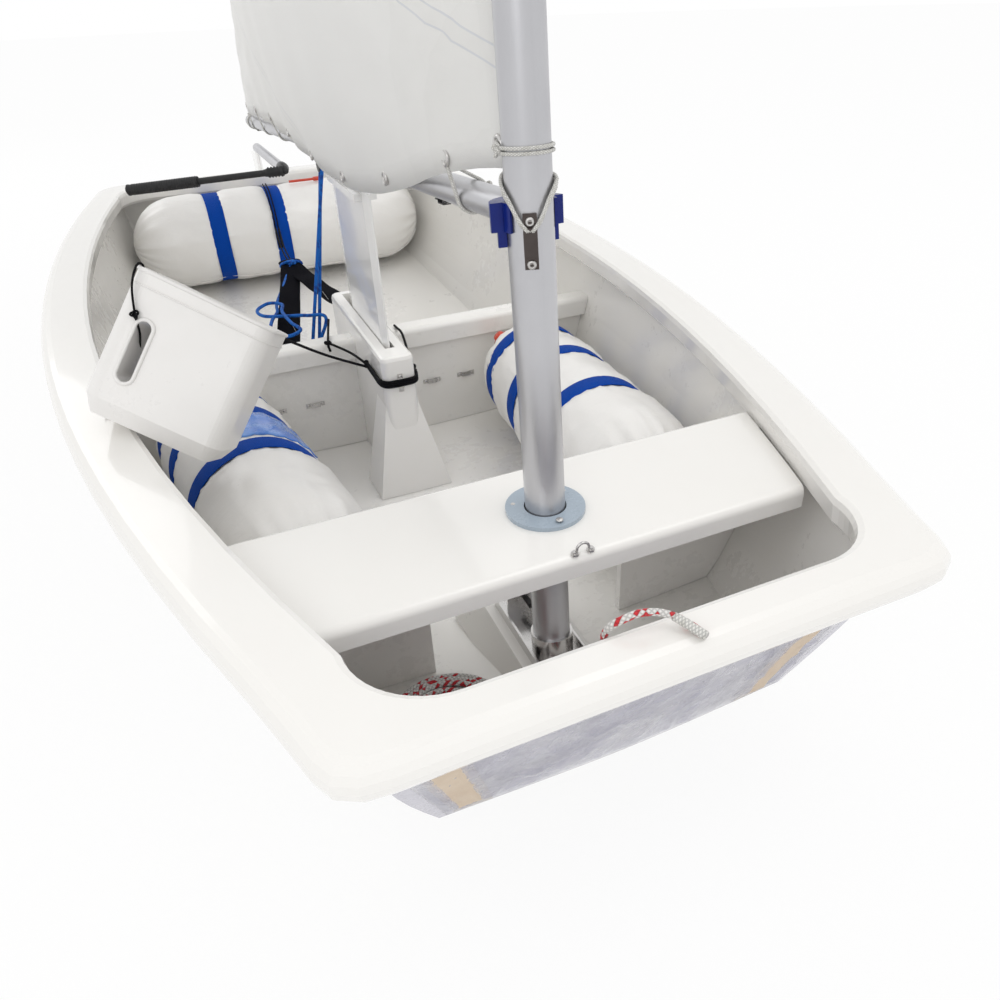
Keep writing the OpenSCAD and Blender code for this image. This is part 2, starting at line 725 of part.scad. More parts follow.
// Rig
mast_wall = 1.6;
mast_foot_h = -(thwart_z - step_z) / cos(rake) + 4;
boom_h = 316;
module mast() {
    color("silver") on_mast(mast_foot_h) difference() {
        cylinder(h = mast_l, r = mast_d / 2, $fn = 96);
        translate([0, 0, 20]) cylinder(h = mast_l, r = mast_d / 2 - mast_wall, $fn = 64);
    }
}
module mast_cap() {
    color("dimgray") on_mast(mast_foot_h + mast_l) {
        cylinder(h = 6, r = mast_d / 2, $fn = 64);
        translate([0, 0, -30]) cylinder(h = 30 + touch, r = mast_d / 2 - mast_wall - touch, $fn = 64);
    }
}
eye_turn = 25;
module mast_eye_strap() {
    color("dimgray") on_mast(296) rotate([0, 0, -eye_turn]) translate([0, -mast_d / 2 - 0.02, 0])
        rotate([90, 0, 0]) rotate([0, 0, 90]) strap_eye(50, 13);
}
module on_boom(y = 0) {
    on_mast(boom_h) rotate([-90, 0, 0]) translate([0, 0, y]) children();
}
boom_start = mast_d / 2 + 15;
boom_wall = 1.6;
module boom() {
    color("silver") on_boom(boom_start) difference() {
        cylinder(h = boom_l - boom_start - 8, r = boom_d / 2, $fn = 72);
        translate([0, 0, -1]) cylinder(h = boom_l, r = boom_d / 2 - boom_wall, $fn = 48);
    }
}
jaw_wrap = 69;
jaw_shoulder = 98;
module jaw_ring(z, h, r, gap) {
    on_mast(boom_h + z) difference() {
        cylinder(h = h, r = r, $fn = 96);
        translate([0, 0, -1]) cylinder(h = h + 2, r = mast_d / 2 + 0.6, $fn = 96);
        translate([0, 0, -1]) jaw_sector(gap, -90, h + 2);
    }
}
module jaw_sector(a, far, h) {
    linear_extrude(h) polygon([[0, 0], [70 * sin(a), -70 * cos(a)], [90, far], [-90, far], [-70 * sin(a), -70 * cos(a)]]);
}
module boom_jaws() {
    color("navy") {
        jaw_ring(-13, 26, mast_d / 2 + 3, jaw_wrap);
        jaw_ring(-13, 26, boom_start - touch, jaw_shoulder);
        difference() {
            jaw_ring(-27, 20, mast_d / 2 + 9, jaw_shoulder);
            on_mast(boom_h - 28) jaw_sector(128, 90, 14.9);
        }
        on_boom(boom_start) translate([0, 0, -3]) cylinder(h = 40, r = boom_d / 2 - boom_wall - touch, $fn = 48);
    }
}
sheet_y = 1010;
module boom_fittings() {
    color("dimgray") {
        on_boom(boom_l - 8) {
            cylinder(h = 8, r = boom_d / 2, $fn = 48);
            translate([0, 0, -25]) cylinder(h = 25 + touch, r = boom_d / 2 - boom_wall - touch, $fn = 48);
        }
        for (y = [250, sheet_y, 1900])
            on_boom(y) translate([0, boom_d / 2 + touch, 0]) rotate([-90, 0, 0]) rotate([0, 0, 90]) strap_eye(40, 10);
        on_boom(sheet_y) translate([0, boom_d / 2 + 22, 0]) rotate([0, 90, 0]) {
            for (s = [-8, 5]) translate([0, 0, s]) cylinder(h = 3, r = 15, $fn = 48);
            translate([0, 0, -5]) cylinder(h = 10, r = 11, $fn = 48);
            translate([0, 0, -8]) cylinder(h = 16, r = 4, $fn = 32);
        }
    }
}

// Four-cornered sail in the mast's own frame: [across, aft, up]
tack = [31, boom_h + 36];
throat = [31, boom_h + 36 + 1720];
clew = [1990, boom_h + 26];
peak = [936, boom_h + 36 + 2560];
sail_belly = 110;
sail_t = 2;
foot_drop = 75;
function hump(s) = 4 * s * (1 - s);
function sail_point(s, t) =
    let (a = tack + (throat - tack) * t, b = clew + (peak - clew) * t, p = a + (b - a) * s,
         low = pow(1 - t, 7))
    [-sail_belly * hump(pow(s, 0.8)) * hump(pow(t, 0.75)) - 26 * low * min(1, 4 * hump(s)),
     p[0] + 0.1 * hump(t), p[1] - foot_drop * low * pow(hump(pow(s, 0.6)), 4)];
module sail() {
    cols = 20;
    rows = 14;
    function line(i, dx) = [for (j = [0 : rows]) sail_point(i / cols, j / rows) + [dx, 0, 0]];
    color("whitesmoke") on_mast()
        loft([for (i = [0 : cols]) concat(line(i, -sail_t / 2),
            [for (j = [rows : -1 : 0]) sail_point(i / cols, j / rows) + [sail_t / 2, 0, 0]])], rows + 1);
}
sprit_foot = [mast_d / 2 + sprit_d / 2 + 6, -8, boom_h + 500];
sprit_head = [sprit_d / 2 + 4, peak[0] - 6, peak[1] + 10];
module sprit() {
    run = sprit_head - sprit_foot;
    color("silver") on_mast() translate(sprit_foot)
        rotate([0, acos(run[2] / norm(run)), atan2(run[1], run[0])]) {
            cylinder(h = norm(run), r = sprit_d / 2, $fn = 48);
            for (z = [-12, norm(run) - touch]) translate([0, 0, z]) cylinder(h = 12 + touch, r = 9, $fn = 32);
        }
}

// Foils
board_top = thwart_z + 218;
board_front = slot_front + 5;
module foil_section(chord, t, edge) {
    polygon([[-1.5, 0], [1.5, 0], [t / 2, edge], [t / 2, chord - edge - 20], [1.5, chord],
             [-1.5, chord], [-t / 2, chord - edge - 20], [-t / 2, edge]]);
}
module round_corner_plate(w, h, r, t) {
    translate([t / 2, 0, 0]) rotate([0, -90, 0]) linear_extrude(t) hull() {
        translate([r, r]) circle(r, $fn = 32);
        translate([r, w - r]) circle(r, $fn = 32);
        translate([h - 4, 4]) circle(4, $fn = 32);
        translate([h - 4, w - 4]) circle(4, $fn = 32);
    }
}
module daggerboard() {
    color("white") translate([0, board_front, board_top - board_l]) intersection() {
        linear_extrude(board_l) foil_section(board_w, board_t, 24);
        round_corner_plate(board_w, board_l, 30, 40);
    }
}
module board_stops() {
    color("white") for (side = [-1, 1])
        translate([side * (board_t / 2 + 6) - 6 + side * touch, board_front + 30, board_top - 16])
            cube([12, board_w - 80, 12]);
}
blade_foot = -345;
module rudder_blade() {
    t = 14;
    color("white") on_rudder() translate([0, 15, 0]) intersection() {
        translate([0, 0, blade_foot - 1]) linear_extrude(800) foil_section(262, t, 16);
        rotate([90, 0, 90]) translate([0, 0, -20]) linear_extrude(40) hull_outline();
    }
}
module hull_outline() {
    difference() {
        union() {
            translate([0, -80]) square([118, 380]);
            translate([0, blade_foot + 40]) square([262, 262]);
            translate([40, blade_foot]) square([180, 60]);
            translate([40, blade_foot + 40]) circle(40, $fn = 48);
            translate([220, blade_foot + 42]) circle(42, $fn = 48);
            translate([100, -100]) square([120, 60]);
        }
        translate([262, -10]) circle(118, $fn = 96);
        translate([220, -45]) square([80, 80]);
    }
}
module rudder_pintles() {
    color("silver") on_rudder() for (h = [lower_h, upper_h]) {
        top = h + barrel_h + 0.3;
        translate([0, 0, h - 14]) cylinder(h = top - h + 14 + touch, r = pin_r, $fn = 48);
        translate([0, 0, top]) cylinder(h = 12, r = 8, $fn = 48);
        for (side = [-1, 1])
            translate([side * 8.2 - 1, 0, top]) cube([2, 90, 12]);
        translate([-9, 6, top]) cube([18, 5, 12]);
    }
}
tiller_d = 26;
tiller_from = [0, transom_head[0] + 66, thwart_z + 98];
tiller_to = [0, 685, thwart_z + 112];
module tiller() {
    run = tiller_to - tiller_from;
    color("silver") translate(tiller_from)
        rotate([90 - atan2(run[2], -run[1]), 0, 0]) cylinder(h = norm(run) - 24, r = tiller_d / 2, $fn = 48);
}
grip_end = [-376, 840, thwart_z + 80];
module tiller_extension() {
    run = grip_end - tiller_to;
    color("dimgray") translate(tiller_to) {
        sphere(9, $fn = 32);
        rotate([0, acos(run[2] / norm(run)), atan2(run[1], run[0])]) {
            cylinder(h = norm(run) - 180, r = 8, $fn = 48);
            translate([0, 0, norm(run) - 180 - touch]) cylinder(h = 180, r = 13, $fn = 48);
        }
    }
}

hull_bottom();
hull_side_port();
hull_side_starboard();
bow_transom();
stern_transom();
side_deck_port();
side_deck_starboard();
bow_deck();
stern_deck();
mast_thwart();
mast_bulkhead();
midship_frame();
daggerboard_case();
mast_flange();
mast_step_pad();
mast_step();
mast_step_knob();
wire_eye();
eye_straps();
airbag_port();
airbag_starboard();
airbag_stern();
airbag_straps();
inflation_tubes();
hiking_straps();
rudder_gudgeons();
drain_plugs();
floor_block();
bailer();
painter();
painter_coil();
mast();
mast_cap();
mast_eye_strap();
boom();
boom_jaws();
boom_fittings();
sprit();
sail();
daggerboard();
board_stops();
rudder_blade();
rudder_pintles();
tiller();
tiller_extension();
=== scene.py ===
import math
import bpy
import bmesh
from mathutils import Vector, Matrix, noise


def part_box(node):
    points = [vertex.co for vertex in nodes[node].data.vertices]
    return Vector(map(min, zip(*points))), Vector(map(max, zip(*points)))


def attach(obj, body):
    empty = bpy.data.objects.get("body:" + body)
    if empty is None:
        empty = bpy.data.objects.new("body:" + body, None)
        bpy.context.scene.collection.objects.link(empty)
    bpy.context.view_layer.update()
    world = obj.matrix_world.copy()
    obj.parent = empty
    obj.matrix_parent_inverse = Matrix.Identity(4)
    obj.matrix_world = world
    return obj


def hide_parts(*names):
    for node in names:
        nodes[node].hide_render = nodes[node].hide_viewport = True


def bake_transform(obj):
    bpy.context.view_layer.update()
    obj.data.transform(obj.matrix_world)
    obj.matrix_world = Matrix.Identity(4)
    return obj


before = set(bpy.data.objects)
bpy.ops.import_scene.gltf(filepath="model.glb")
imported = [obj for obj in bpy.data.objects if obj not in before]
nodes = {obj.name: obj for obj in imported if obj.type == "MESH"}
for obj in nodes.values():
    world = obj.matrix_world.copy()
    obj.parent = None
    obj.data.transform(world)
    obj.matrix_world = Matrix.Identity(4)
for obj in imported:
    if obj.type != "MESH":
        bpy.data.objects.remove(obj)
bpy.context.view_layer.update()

# camera: over the bow, a little to starboard, looking down into the boat
cameraAt = Vector((-0.3072, -1.5199, 0.7588))
lookRight = Vector((0.912922, -0.406866, -0.032163))
lookUp = Vector((0.247502, 0.489232, 0.836299))
lookBack = Vector((-0.324526, -0.771435, 0.547330))
cameraData = bpy.data.cameras.new("camera")
cameraData.sensor_width = 36
cameraData.lens = 28.18
cameraData.shift_x = -0.0205
cameraData.shift_y = -0.0040
cameraData.clip_start = 0.02
camera = bpy.data.objects.new("camera", cameraData)
camera.matrix_world = Matrix((
    (lookRight.x, lookUp.x, lookBack.x, cameraAt.x),
    (lookRight.y, lookUp.y, lookBack.y, cameraAt.y),
    (lookRight.z, lookUp.z, lookBack.z, cameraAt.z),
    (0, 0, 0, 1)))
bpy.context.collection.objects.link(camera)
bpy.context.scene.camera = camera
bpy.context.scene.view_settings.view_transform = "Standard"

# painter first: its routes are the ones the build uses, in millimetres
painterTie = [(-12, -922, 76), (-22, -924, 76), (-34, -926, 73), (-48, -928, 69), (-60, -930, 67),
              (-70, -932, 66), (-80, -934, 66)]
painterEnd = [(-94, -979, 68), (-89, -989, 68), (-82, -1002, 70), (-75, -1020, 78), (-68, -1034, 102),
              (-62, -1048, 140),
              (-58, -1062, 180), (-55, -1076, 220), (-54, -1086, 260), (-53, -1089, 288), (-50, -1095, 303),
              (-42, -1100, 311), (-28, -1103, 315), (-10, -1107, 312), (4, -1114, 306), (12, -1124, 302),
              (16, -1138, 301)]
painter = {"diameter": 0.007, "coil": (-156, -936, 54), "tilt": (-11, 3), "radii": (36, 70),
           "layers": (3.6, 34.5), "turns": 24}


def mm(points):
    return [Vector(p) * 0.001 for p in points]


def smoothRoute(points, step=0.004):
    out = []
    count = len(points)
    for i in range(count - 1):
        a, b = points[max(i - 1, 0)], points[i]
        c, d = points[i + 1], points[min(i + 2, count - 1)]
        pieces = max(2, int((c - b).length / step))
        for k in range(pieces):
            f = k / pieces
            out.append(0.5 * (2 * b + (c - a) * f + (2 * a - 5 * b + 4 * c - d) * f * f
                              + (3 * b - a - 3 * c + d) * f ** 3))
    out.append(points[-1])
    return out


def coilRoute(settings):
    cx, cy, cz = settings["coil"]
    inner, outer = settings["radii"]
    low, high = settings["layers"]
    turns = settings["turns"]
    columns = 5
    layers = math.ceil(turns / columns)
    aboutX, aboutY = (math.radians(v) for v in settings["tilt"])
    tilt = Matrix.Rotation(aboutY, 3, "Y") @ Matrix.Rotation(aboutX, 3, "X")
    route = []
    perTurn = 28
    for k in range(turns * perTurn + 1):
        t = k / perTurn
        layer = min(int(t / columns), layers - 1)
        across = (t - layer * columns) / columns
        if layer % 2:
            across = 1 - across
        blend = min(1, max(0, (t - layer * columns) / 0.5)) if layer else 1
        radius = inner + (outer - inner) * across
        z = low + (high - low) * (layer - 1 + blend if layer else 0) / (layers - 1)
        a = 2 * math.pi * t
        route.append((Vector((cx, cy, cz)) + tilt
                      @ Vector((radius * math.cos(a), radius * math.sin(a), z))) * 0.001)
    return route


# shared shading
def addNode(tree, kind, **inputs):
    node = tree.nodes.new(kind)
    for key, value in inputs.items():
        socket = node.inputs[key.replace("_", " ")] if key.replace("_", " ") in node.inputs else None
        if socket is None:
            setattr(node, key, value)
        else:
            socket.default_value = value
    return node


def newGroup(name, inputs, outputs):
    group = bpy.data.node_groups.new(name, "ShaderNodeTree")
    for label, kind, value in inputs:
        socket = group.interface.new_socket(name=label, in_out="INPUT", socket_type=kind)
        if value is not None:
            socket.default_value = value
    for label, kind in outputs:
        group.interface.new_socket(name=label, in_out="OUTPUT", socket_type=kind)
    return group, group.nodes.new("NodeGroupInput"), group.nodes.new("NodeGroupOutput")


def mixColor(tree, factor, a, b, mode="MIX"):
    mix = tree.nodes.new("ShaderNodeMix")
    mix.data_type = "RGBA"
    mix.blend_type = mode
    for socket, value in ((mix.inputs[0], factor), (mix.inputs[6], a), (mix.inputs[7], b)):
        if isinstance(value, bpy.types.NodeSocket):
            tree.links.new(value, socket)
        else:
            socket.default_value = value
    return mix.outputs[2]


def math2(tree, operation, a, b=0.0, c=0.0):
    node = tree.nodes.new("ShaderNodeMath")
    node.operation = operation
    for socket, value in zip(node.inputs, (a, b, c)):
        if isinstance(value, bpy.types.NodeSocket):
            tree.links.new(value, socket)
        else:
            socket.default_value = value
    return node.outputs[0]


def mottleGroup():
    group, entry, leave = newGroup("mottle", [
        ("Base", "NodeSocketColor", (0.8, 0.8, 0.8, 1)), ("Stain", "NodeSocketColor", (0.7, 0.65, 0.6, 1)),
        ("Amount", "NodeSocketFloat", 0.2), ("Scale", "NodeSocketFloat", 6.0),
        ("Smooth", "NodeSocketFloat", 0.2), ("Rough", "NodeSocketFloat", 0.4)],
        [("Color", "NodeSocketColor"), ("Roughness", "NodeSocketFloat")])
    coords = group.nodes.new("ShaderNodeTexCoord")
    wide = addNode(group, "ShaderNodeTexNoise", Detail=4.0, Roughness=0.6)
    fine = addNode(group, "ShaderNodeTexNoise", Detail=6.0, Roughness=0.7)
    group.links.new(coords.outputs["Object"], wide.inputs["Vector"])
    group.links.new(coords.outputs["Object"], fine.inputs["Vector"])
    group.links.new(entry.outputs["Scale"], wide.inputs["Scale"])
    group.links.new(math2(group, "MULTIPLY", entry.outputs["Scale"], 9.0), fine.inputs["Scale"])
    spread = group.nodes.new("ShaderNodeMapRange")
    spread.inputs["From Min"].default_value = 0.42
    spread.inputs["From Max"].default_value = 0.75
    group.links.new(wide.outputs["Fac"], spread.inputs["Value"])
    factor = math2(group, "MULTIPLY", spread.outputs["Result"], entry.outputs["Amount"])
    group.links.new(mixColor(group, factor, entry.outputs["Base"], entry.outputs["Stain"]),
                    leave.inputs["Color"])
    blend = math2(group, "ADD", math2(group, "MULTIPLY", wide.outputs["Fac"], 0.6),
                  math2(group, "MULTIPLY", fine.outputs["Fac"], 0.4))
    rough = group.nodes.new("ShaderNodeMapRange")
    rough.inputs["From Min"].default_value = 0.3
    rough.inputs["From Max"].default_value = 0.7
    group.links.new(blend, rough.inputs["Value"])
    group.links.new(entry.outputs["Smooth"], rough.inputs["To Min"])
    group.links.new(entry.outputs["Rough"], rough.inputs["To Max"])
    group.links.new(rough.outputs["Result"], leave.inputs["Roughness"])
    return group


def reliefGroup():
    group, entry, leave = newGroup("relief", [
        ("Scale", "NodeSocketFloat", 20.0), ("Stretch", "NodeSocketVector", (1, 1, 1)),
        ("Height", "NodeSocketFloat", 0.001), ("Strength", "NodeSocketFloat", 0.5)],
        [("Normal", "NodeSocketVector")])
    coords = group.nodes.new("ShaderNodeTexCoord")
    mapping = group.nodes.new("ShaderNodeVectorMath")
    mapping.operation = "MULTIPLY"
    group.links.new(coords.outputs["Object"], mapping.inputs[0])
    group.links.new(entry.outputs["Stretch"], mapping.inputs[1])
    grain = addNode(group, "ShaderNodeTexNoise", Detail=5.0, Roughness=0.6)
    group.links.new(mapping.outputs[0], grain.inputs["Vector"])
    group.links.new(entry.outputs["Scale"], grain.inputs["Scale"])
    bump = group.nodes.new("ShaderNodeBump")
    group.links.new(grain.outputs["Fac"], bump.inputs["Height"])
    group.links.new(entry.outputs["Height"], bump.inputs["Distance"])
    group.links.new(entry.outputs["Strength"], bump.inputs["Strength"])
    group.links.new(bump.outputs["Normal"], leave.inputs["Normal"])
    return group


def weaveGroup():
    group, entry, leave = newGroup("weave", [
        ("Thread", "NodeSocketColor", (0.1, 0.2, 0.6, 1)),
                                             ("Shade", "NodeSocketColor", (0.05, 0.1, 0.3, 1)),
        ("Pitch", "NodeSocketFloat", 0.0018), ("Height", "NodeSocketFloat", 0.0004)],
        [("Color", "NodeSocketColor"), ("Normal", "NodeSocketVector")])
    coords = group.nodes.new("ShaderNodeUVMap")
    split = group.nodes.new("ShaderNodeSeparateXYZ")
    group.links.new(coords.outputs[0], split.inputs[0])
    u = math2(group, "DIVIDE", split.outputs[0], entry.outputs["Pitch"])
    v = math2(group, "DIVIDE", split.outputs[1], entry.outputs["Pitch"])
    warp = math2(group, "ABSOLUTE", math2(group, "SINE", math2(group, "MULTIPLY", u, math.pi)))
    weft = math2(group, "ABSOLUTE", math2(group, "SINE", math2(group, "MULTIPLY", v, math.pi)))
    cells = math2(group, "ADD", math2(group, "FLOOR", u), math2(group, "FLOOR", v))
    over = math2(group, "PINGPONG", cells, 1.0)
    height = math2(group, "ADD", math2(group, "MULTIPLY", warp, over),
                   math2(group, "MULTIPLY", weft, math2(group, "SUBTRACT", 1.0, over)))
    group.links.new(mixColor(group, height, entry.outputs["Shade"], entry.outputs["Thread"]),
                    leave.inputs["Color"])
    bump = addNode(group, "ShaderNodeBump", Strength=0.7)
    group.links.new(height, bump.inputs["Height"])
    group.links.new(entry.outputs["Height"], bump.inputs["Distance"])
    group.links.new(bump.outputs["Normal"], leave.inputs["Normal"])
    return group


def braidGroup():
    group, entry, leave = newGroup("braid", [
        ("Yarn", "NodeSocketColor", (0.85, 0.84, 0.8, 1)),
                                             ("Fleck", "NodeSocketColor", (0.7, 0.03, 0.03, 1)),
        ("Share", "NodeSocketFloat", 0.25), ("Pitch", "NodeSocketFloat", 0.006),
                                             ("Strands", "NodeSocketFloat", 4.0)],
        [("Color", "NodeSocketColor"), ("Normal", "NodeSocketVector")])
    coords = group.nodes.new("ShaderNodeUVMap")
    split = group.nodes.new("ShaderNodeSeparateXYZ")
    group.links.new(coords.outputs[0], split.inputs[0])
    round = math2(group, "MULTIPLY", split.outputs[0], entry.outputs["Strands"])
    along = math2(group, "DIVIDE", split.outputs[1], entry.outputs["Pitch"])
    a = math2(group, "ADD", along, round)
    b = math2(group, "SUBTRACT", along, round)
    ridge = math2(group, "MULTIPLY", math2(group, "ABSOLUTE",
                                           math2(group, "SINE", math2(group, "MULTIPLY", a, math.pi))),
                  math2(group, "ABSOLUTE", math2(group, "SINE", math2(group, "MULTIPLY", b, math.pi))))
    cell = group.nodes.new("ShaderNodeCombineXYZ")
    group.links.new(math2(group, "FLOOR", math2(group, "MULTIPLY", a, 0.5)), cell.inputs[0])
    group.links.new(math2(group, "FLOOR", b), cell.inputs[1])
    chance = group.nodes.new("ShaderNodeTexWhiteNoise")
    group.links.new(cell.outputs[0], chance.inputs["Vector"])
    fleck = math2(group, "LESS_THAN", chance.outputs["Value"], entry.outputs["Share"])
    yarn = mixColor(group, fleck, entry.outputs["Yarn"], entry.outputs["Fleck"])
    shade = math2(group, "ADD", math2(group, "MULTIPLY", ridge, 0.45), 0.55)
    shadeColor = group.nodes.new("ShaderNodeCombineColor")
    for k in range(3):
        group.links.new(shade, shadeColor.inputs[k])
    group.links.new(mixColor(group, 1.0, yarn, shadeColor.outputs[0], "MULTIPLY"), leave.inputs["Color"])
    bump = addNode(group, "ShaderNodeBump", Strength=0.8, Distance=0.0007)
    group.links.new(ridge, bump.inputs["Height"])
    group.links.new(bump.outputs["Normal"], leave.inputs["Normal"])
    return group


mottle, relief, weave, braid = mottleGroup(), reliefGroup(), weaveGroup(), braidGroup()


def newMaterial(name, **settings):
    material = bpy.data.materials.new(name)
    material.use_nodes = True
    shader = material.node_tree.nodes["Principled BSDF"]
    for key, value in settings.items():
        shader.inputs[key.replace("_", " ")].default_value = value
    return material, material.node_tree, shader


def useGroup(tree, shader, group, settings, outputs):
    node = tree.nodes.new("ShaderNodeGroup")
    node.node_tree = group
    for key, value in settings.items():
        node.inputs[key].default_value = value
    for label, socket in outputs.items():
        tree.links.new(node.outputs[label], shader.inputs[socket])
    return node


def surface(name, look, grain=None, **settings):
    material, tree, shader = newMaterial(name, **settings)
    useGroup(tree, shader, mottle, look, {"Color": "Base Color", "Roughness": "Roughness"})
    if grain:
        useGroup(tree, shader, relief, grain, {"Normal": "Normal"})
    return material


def webbing(name, thread, shade, pitch=0.0018, **settings):
    material, tree, shader = newMaterial(name, **settings)
    useGroup(tree, shader, weave, {"Thread": thread, "Shade": shade, "Pitch": pitch,
                                   "Height": pitch * 0.25},
             {"Color": "Base Color", "Normal": "Normal"})
    return material


def rope(name, yarn, fleck, share, pitch, strands, **settings):
    material, tree, shader = newMaterial(name, **settings)
    useGroup(tree, shader, braid, {"Yarn": yarn, "Fleck": fleck, "Share": share, "Pitch": pitch,
                                   "Strands": strands},
             {"Color": "Base Color", "Normal": "Normal"})
    return material


gelcoat = surface("gelcoat", {"Base": (0.86, 0.845, 0.815, 1), "Stain": (0.80, 0.77, 0.72, 1),
                              "Amount": 0.22, "Scale": 3.0, "Smooth": 0.14, "Rough": 0.26},
                  {"Scale": 9.0, "Height": 0.0015, "Strength": 0.12}, Coat_Weight=0.55, Coat_Roughness=0.05)
innerGelcoat = surface("innerGelcoat",
                       {"Base": (0.88, 0.865, 0.83, 1), "Stain": (0.80, 0.77, 0.71, 1), "Amount": 0.2,
                        "Scale": 4.0, "Smooth": 0.22, "Rough": 0.36},
                       {"Scale": 14.0, "Height": 0.0008, "Strength": 0.12}, Coat_Weight=0.35,
                       Coat_Roughness=0.08)
# bow end: its grey-lavender colour, lighter in random blotches, is painted shade on the white gelcoat of
# the bow end
bowEndShade = surface("bowEndShade", {"Base": (0.50, 0.49, 0.56, 1), "Stain": (0.60, 0.59, 0.65, 1), "Amount": 0.8,
                              "Scale": 9.0, "Smooth": 0.12, "Rough": 0.42},
                  {"Scale": 16.0, "Stretch": (1, 1, 2.2), "Height": 0.012, "Strength": 0.5},
                  Coat_Weight=0.9, Coat_Roughness=0.08)
alloy = surface("alloy", {"Base": (0.55, 0.55, 0.57, 1), "Stain": (0.46, 0.46, 0.485, 1), "Amount": 0.35,
                          "Scale": 7.0, "Smooth": 0.28, "Rough": 0.42},
                {"Scale": 60.0, "Stretch": (6, 6, 0.25), "Height": 0.0004, "Strength": 0.25}, Metallic=0.92)
stainless = surface("stainless", {"Base": (0.62, 0.61, 0.60, 1), "Stain": (0.42, 0.40, 0.38, 1),
                                  "Amount": 0.5, "Scale": 14.0, "Smooth": 0.16, "Rough": 0.36},
                    {"Scale": 90.0, "Stretch": (5, 0.5, 1), "Height": 0.0003, "Strength": 0.25},
                    Metallic=1.0)
darkSteel = surface("darkSteel", {"Base": (0.085, 0.072, 0.068, 1), "Stain": (0.045, 0.035, 0.032, 1),
                                  "Amount": 0.6, "Scale": 40.0, "Smooth": 0.14, "Rough": 0.34},
                    {"Scale": 160.0, "Height": 0.0003, "Strength": 0.25}, Metallic=1.0)
blackPlastic = surface("blackPlastic",
                       {"Base": (0.018, 0.018, 0.02, 1), "Stain": (0.045, 0.043, 0.04, 1), "Amount": 0.5,
                        "Scale": 30.0, "Smooth": 0.3, "Rough": 0.5},
                       {"Scale": 180.0, "Height": 0.0004, "Strength": 0.3})
navyPlastic = surface("navyPlastic",
                      {"Base": (0.004, 0.014, 0.16, 1), "Stain": (0.01, 0.03, 0.22, 1), "Amount": 0.5,
                       "Scale": 30.0, "Smooth": 0.22, "Rough": 0.4},
                      {"Scale": 120.0, "Height": 0.0003, "Strength": 0.25}, Specular_IOR_Level=0.25)
paleBlue = surface("paleBlue", {"Base": (0.36, 0.43, 0.50, 1), "Stain": (0.30, 0.36, 0.42, 1),
                                "Amount": 0.5, "Scale": 25.0, "Smooth": 0.2, "Rough": 0.34},
                   {"Scale": 140.0, "Height": 0.0003, "Strength": 0.2}, Coat_Weight=0.3)
whitePlastic = surface("whitePlastic",
                       {"Base": (0.84, 0.84, 0.82, 1), "Stain": (0.72, 0.70, 0.66, 1), "Amount": 0.3,
                        "Scale": 18.0, "Smooth": 0.2, "Rough": 0.36},
                       {"Scale": 80.0, "Height": 0.0004, "Strength": 0.2}, Coat_Weight=0.2)
jugPlastic = surface("jugPlastic", {"Base": (0.82, 0.805, 0.785, 1), "Stain": (0.74, 0.725, 0.70, 1),
                                    "Amount": 0.4, "Scale": 10.0, "Smooth": 0.24, "Rough": 0.42},
                     {"Scale": 28.0, "Height": 0.002, "Strength": 0.2}, Coat_Weight=0.15)
vinyl = surface("vinyl", {"Base": (0.86, 0.845, 0.82, 1), "Stain": (0.79, 0.765, 0.73, 1), "Amount": 0.3,
                          "Scale": 7.0, "Smooth": 0.26, "Rough": 0.42},
                {"Scale": 34.0, "Stretch": (1, 2.5, 1), "Height": 0.004, "Strength": 0.35},
                Coat_Weight=0.25, Coat_Roughness=0.2)
redPlastic = surface("redPlastic", {"Base": (0.62, 0.045, 0.012, 1), "Stain": (0.45, 0.03, 0.01, 1),
                                    "Amount": 0.5, "Scale": 40.0, "Smooth": 0.25, "Rough": 0.4},
                     {"Scale": 120.0, "Height": 0.0003, "Strength": 0.2}, Coat_Weight=0.3)
foilPaint = surface("foilPaint", {"Base": (0.86, 0.855, 0.84, 1), "Stain": (0.78, 0.76, 0.72, 1),
                                  "Amount": 0.3, "Scale": 5.0, "Smooth": 0.12, "Rough": 0.24},
                    {"Scale": 12.0, "Height": 0.001, "Strength": 0.1}, Coat_Weight=0.5, Coat_Roughness=0.05)
gripRubber = surface("gripRubber", {"Base": (0.014, 0.014, 0.015, 1), "Stain": (0.04, 0.04, 0.042, 1),
                                    "Amount": 0.6, "Scale": 60.0, "Smooth": 0.55, "Rough": 0.8},
                     {"Scale": 420.0, "Height": 0.0008, "Strength": 0.6})
maskingTape = surface("maskingTape",
                      {"Base": (0.62, 0.50, 0.38, 1), "Stain": (0.70, 0.60, 0.48, 1), "Amount": 0.7,
                       "Scale": 30.0, "Smooth": 0.5, "Rough": 0.75},
                      {"Scale": 120.0, "Stretch": (1, 1, 6), "Height": 0.0006, "Strength": 0.6})
blueWebbing = webbing("blueWebbing", (0.0, 0.068, 0.42, 1), (0.0, 0.034, 0.26, 1), Roughness=0.65,
                      Specular_IOR_Level=0.1)
blackWebbing = webbing("blackWebbing", (0.003, 0.003, 0.006, 1), (0.001, 0.001, 0.002, 1), Roughness=0.85,
                       Specular_IOR_Level=0.05)
skyVinyl = surface("skyVinyl", {"Base": (0.035, 0.17, 0.62, 1), "Stain": (0.16, 0.38, 0.80, 1),
                                "Amount": 0.8, "Scale": 24.0, "Smooth": 0.18, "Rough": 0.35},
                   {"Scale": 40.0, "Height": 0.002, "Strength": 0.3}, Coat_Weight=0.5)
painterRope = rope("painterRope", (0.84, 0.82, 0.79, 1), (0.66, 0.02, 0.03, 1), 0.28, 0.0052, 4.0,
                   Roughness=0.75, Sheen_Weight=0.2)
whiteLine = rope("whiteLine", (0.84, 0.83, 0.79, 1), (0.74, 0.73, 0.68, 1), 0.3, 0.0032, 4.0, Roughness=0.7,
                 Sheen_Weight=0.2)
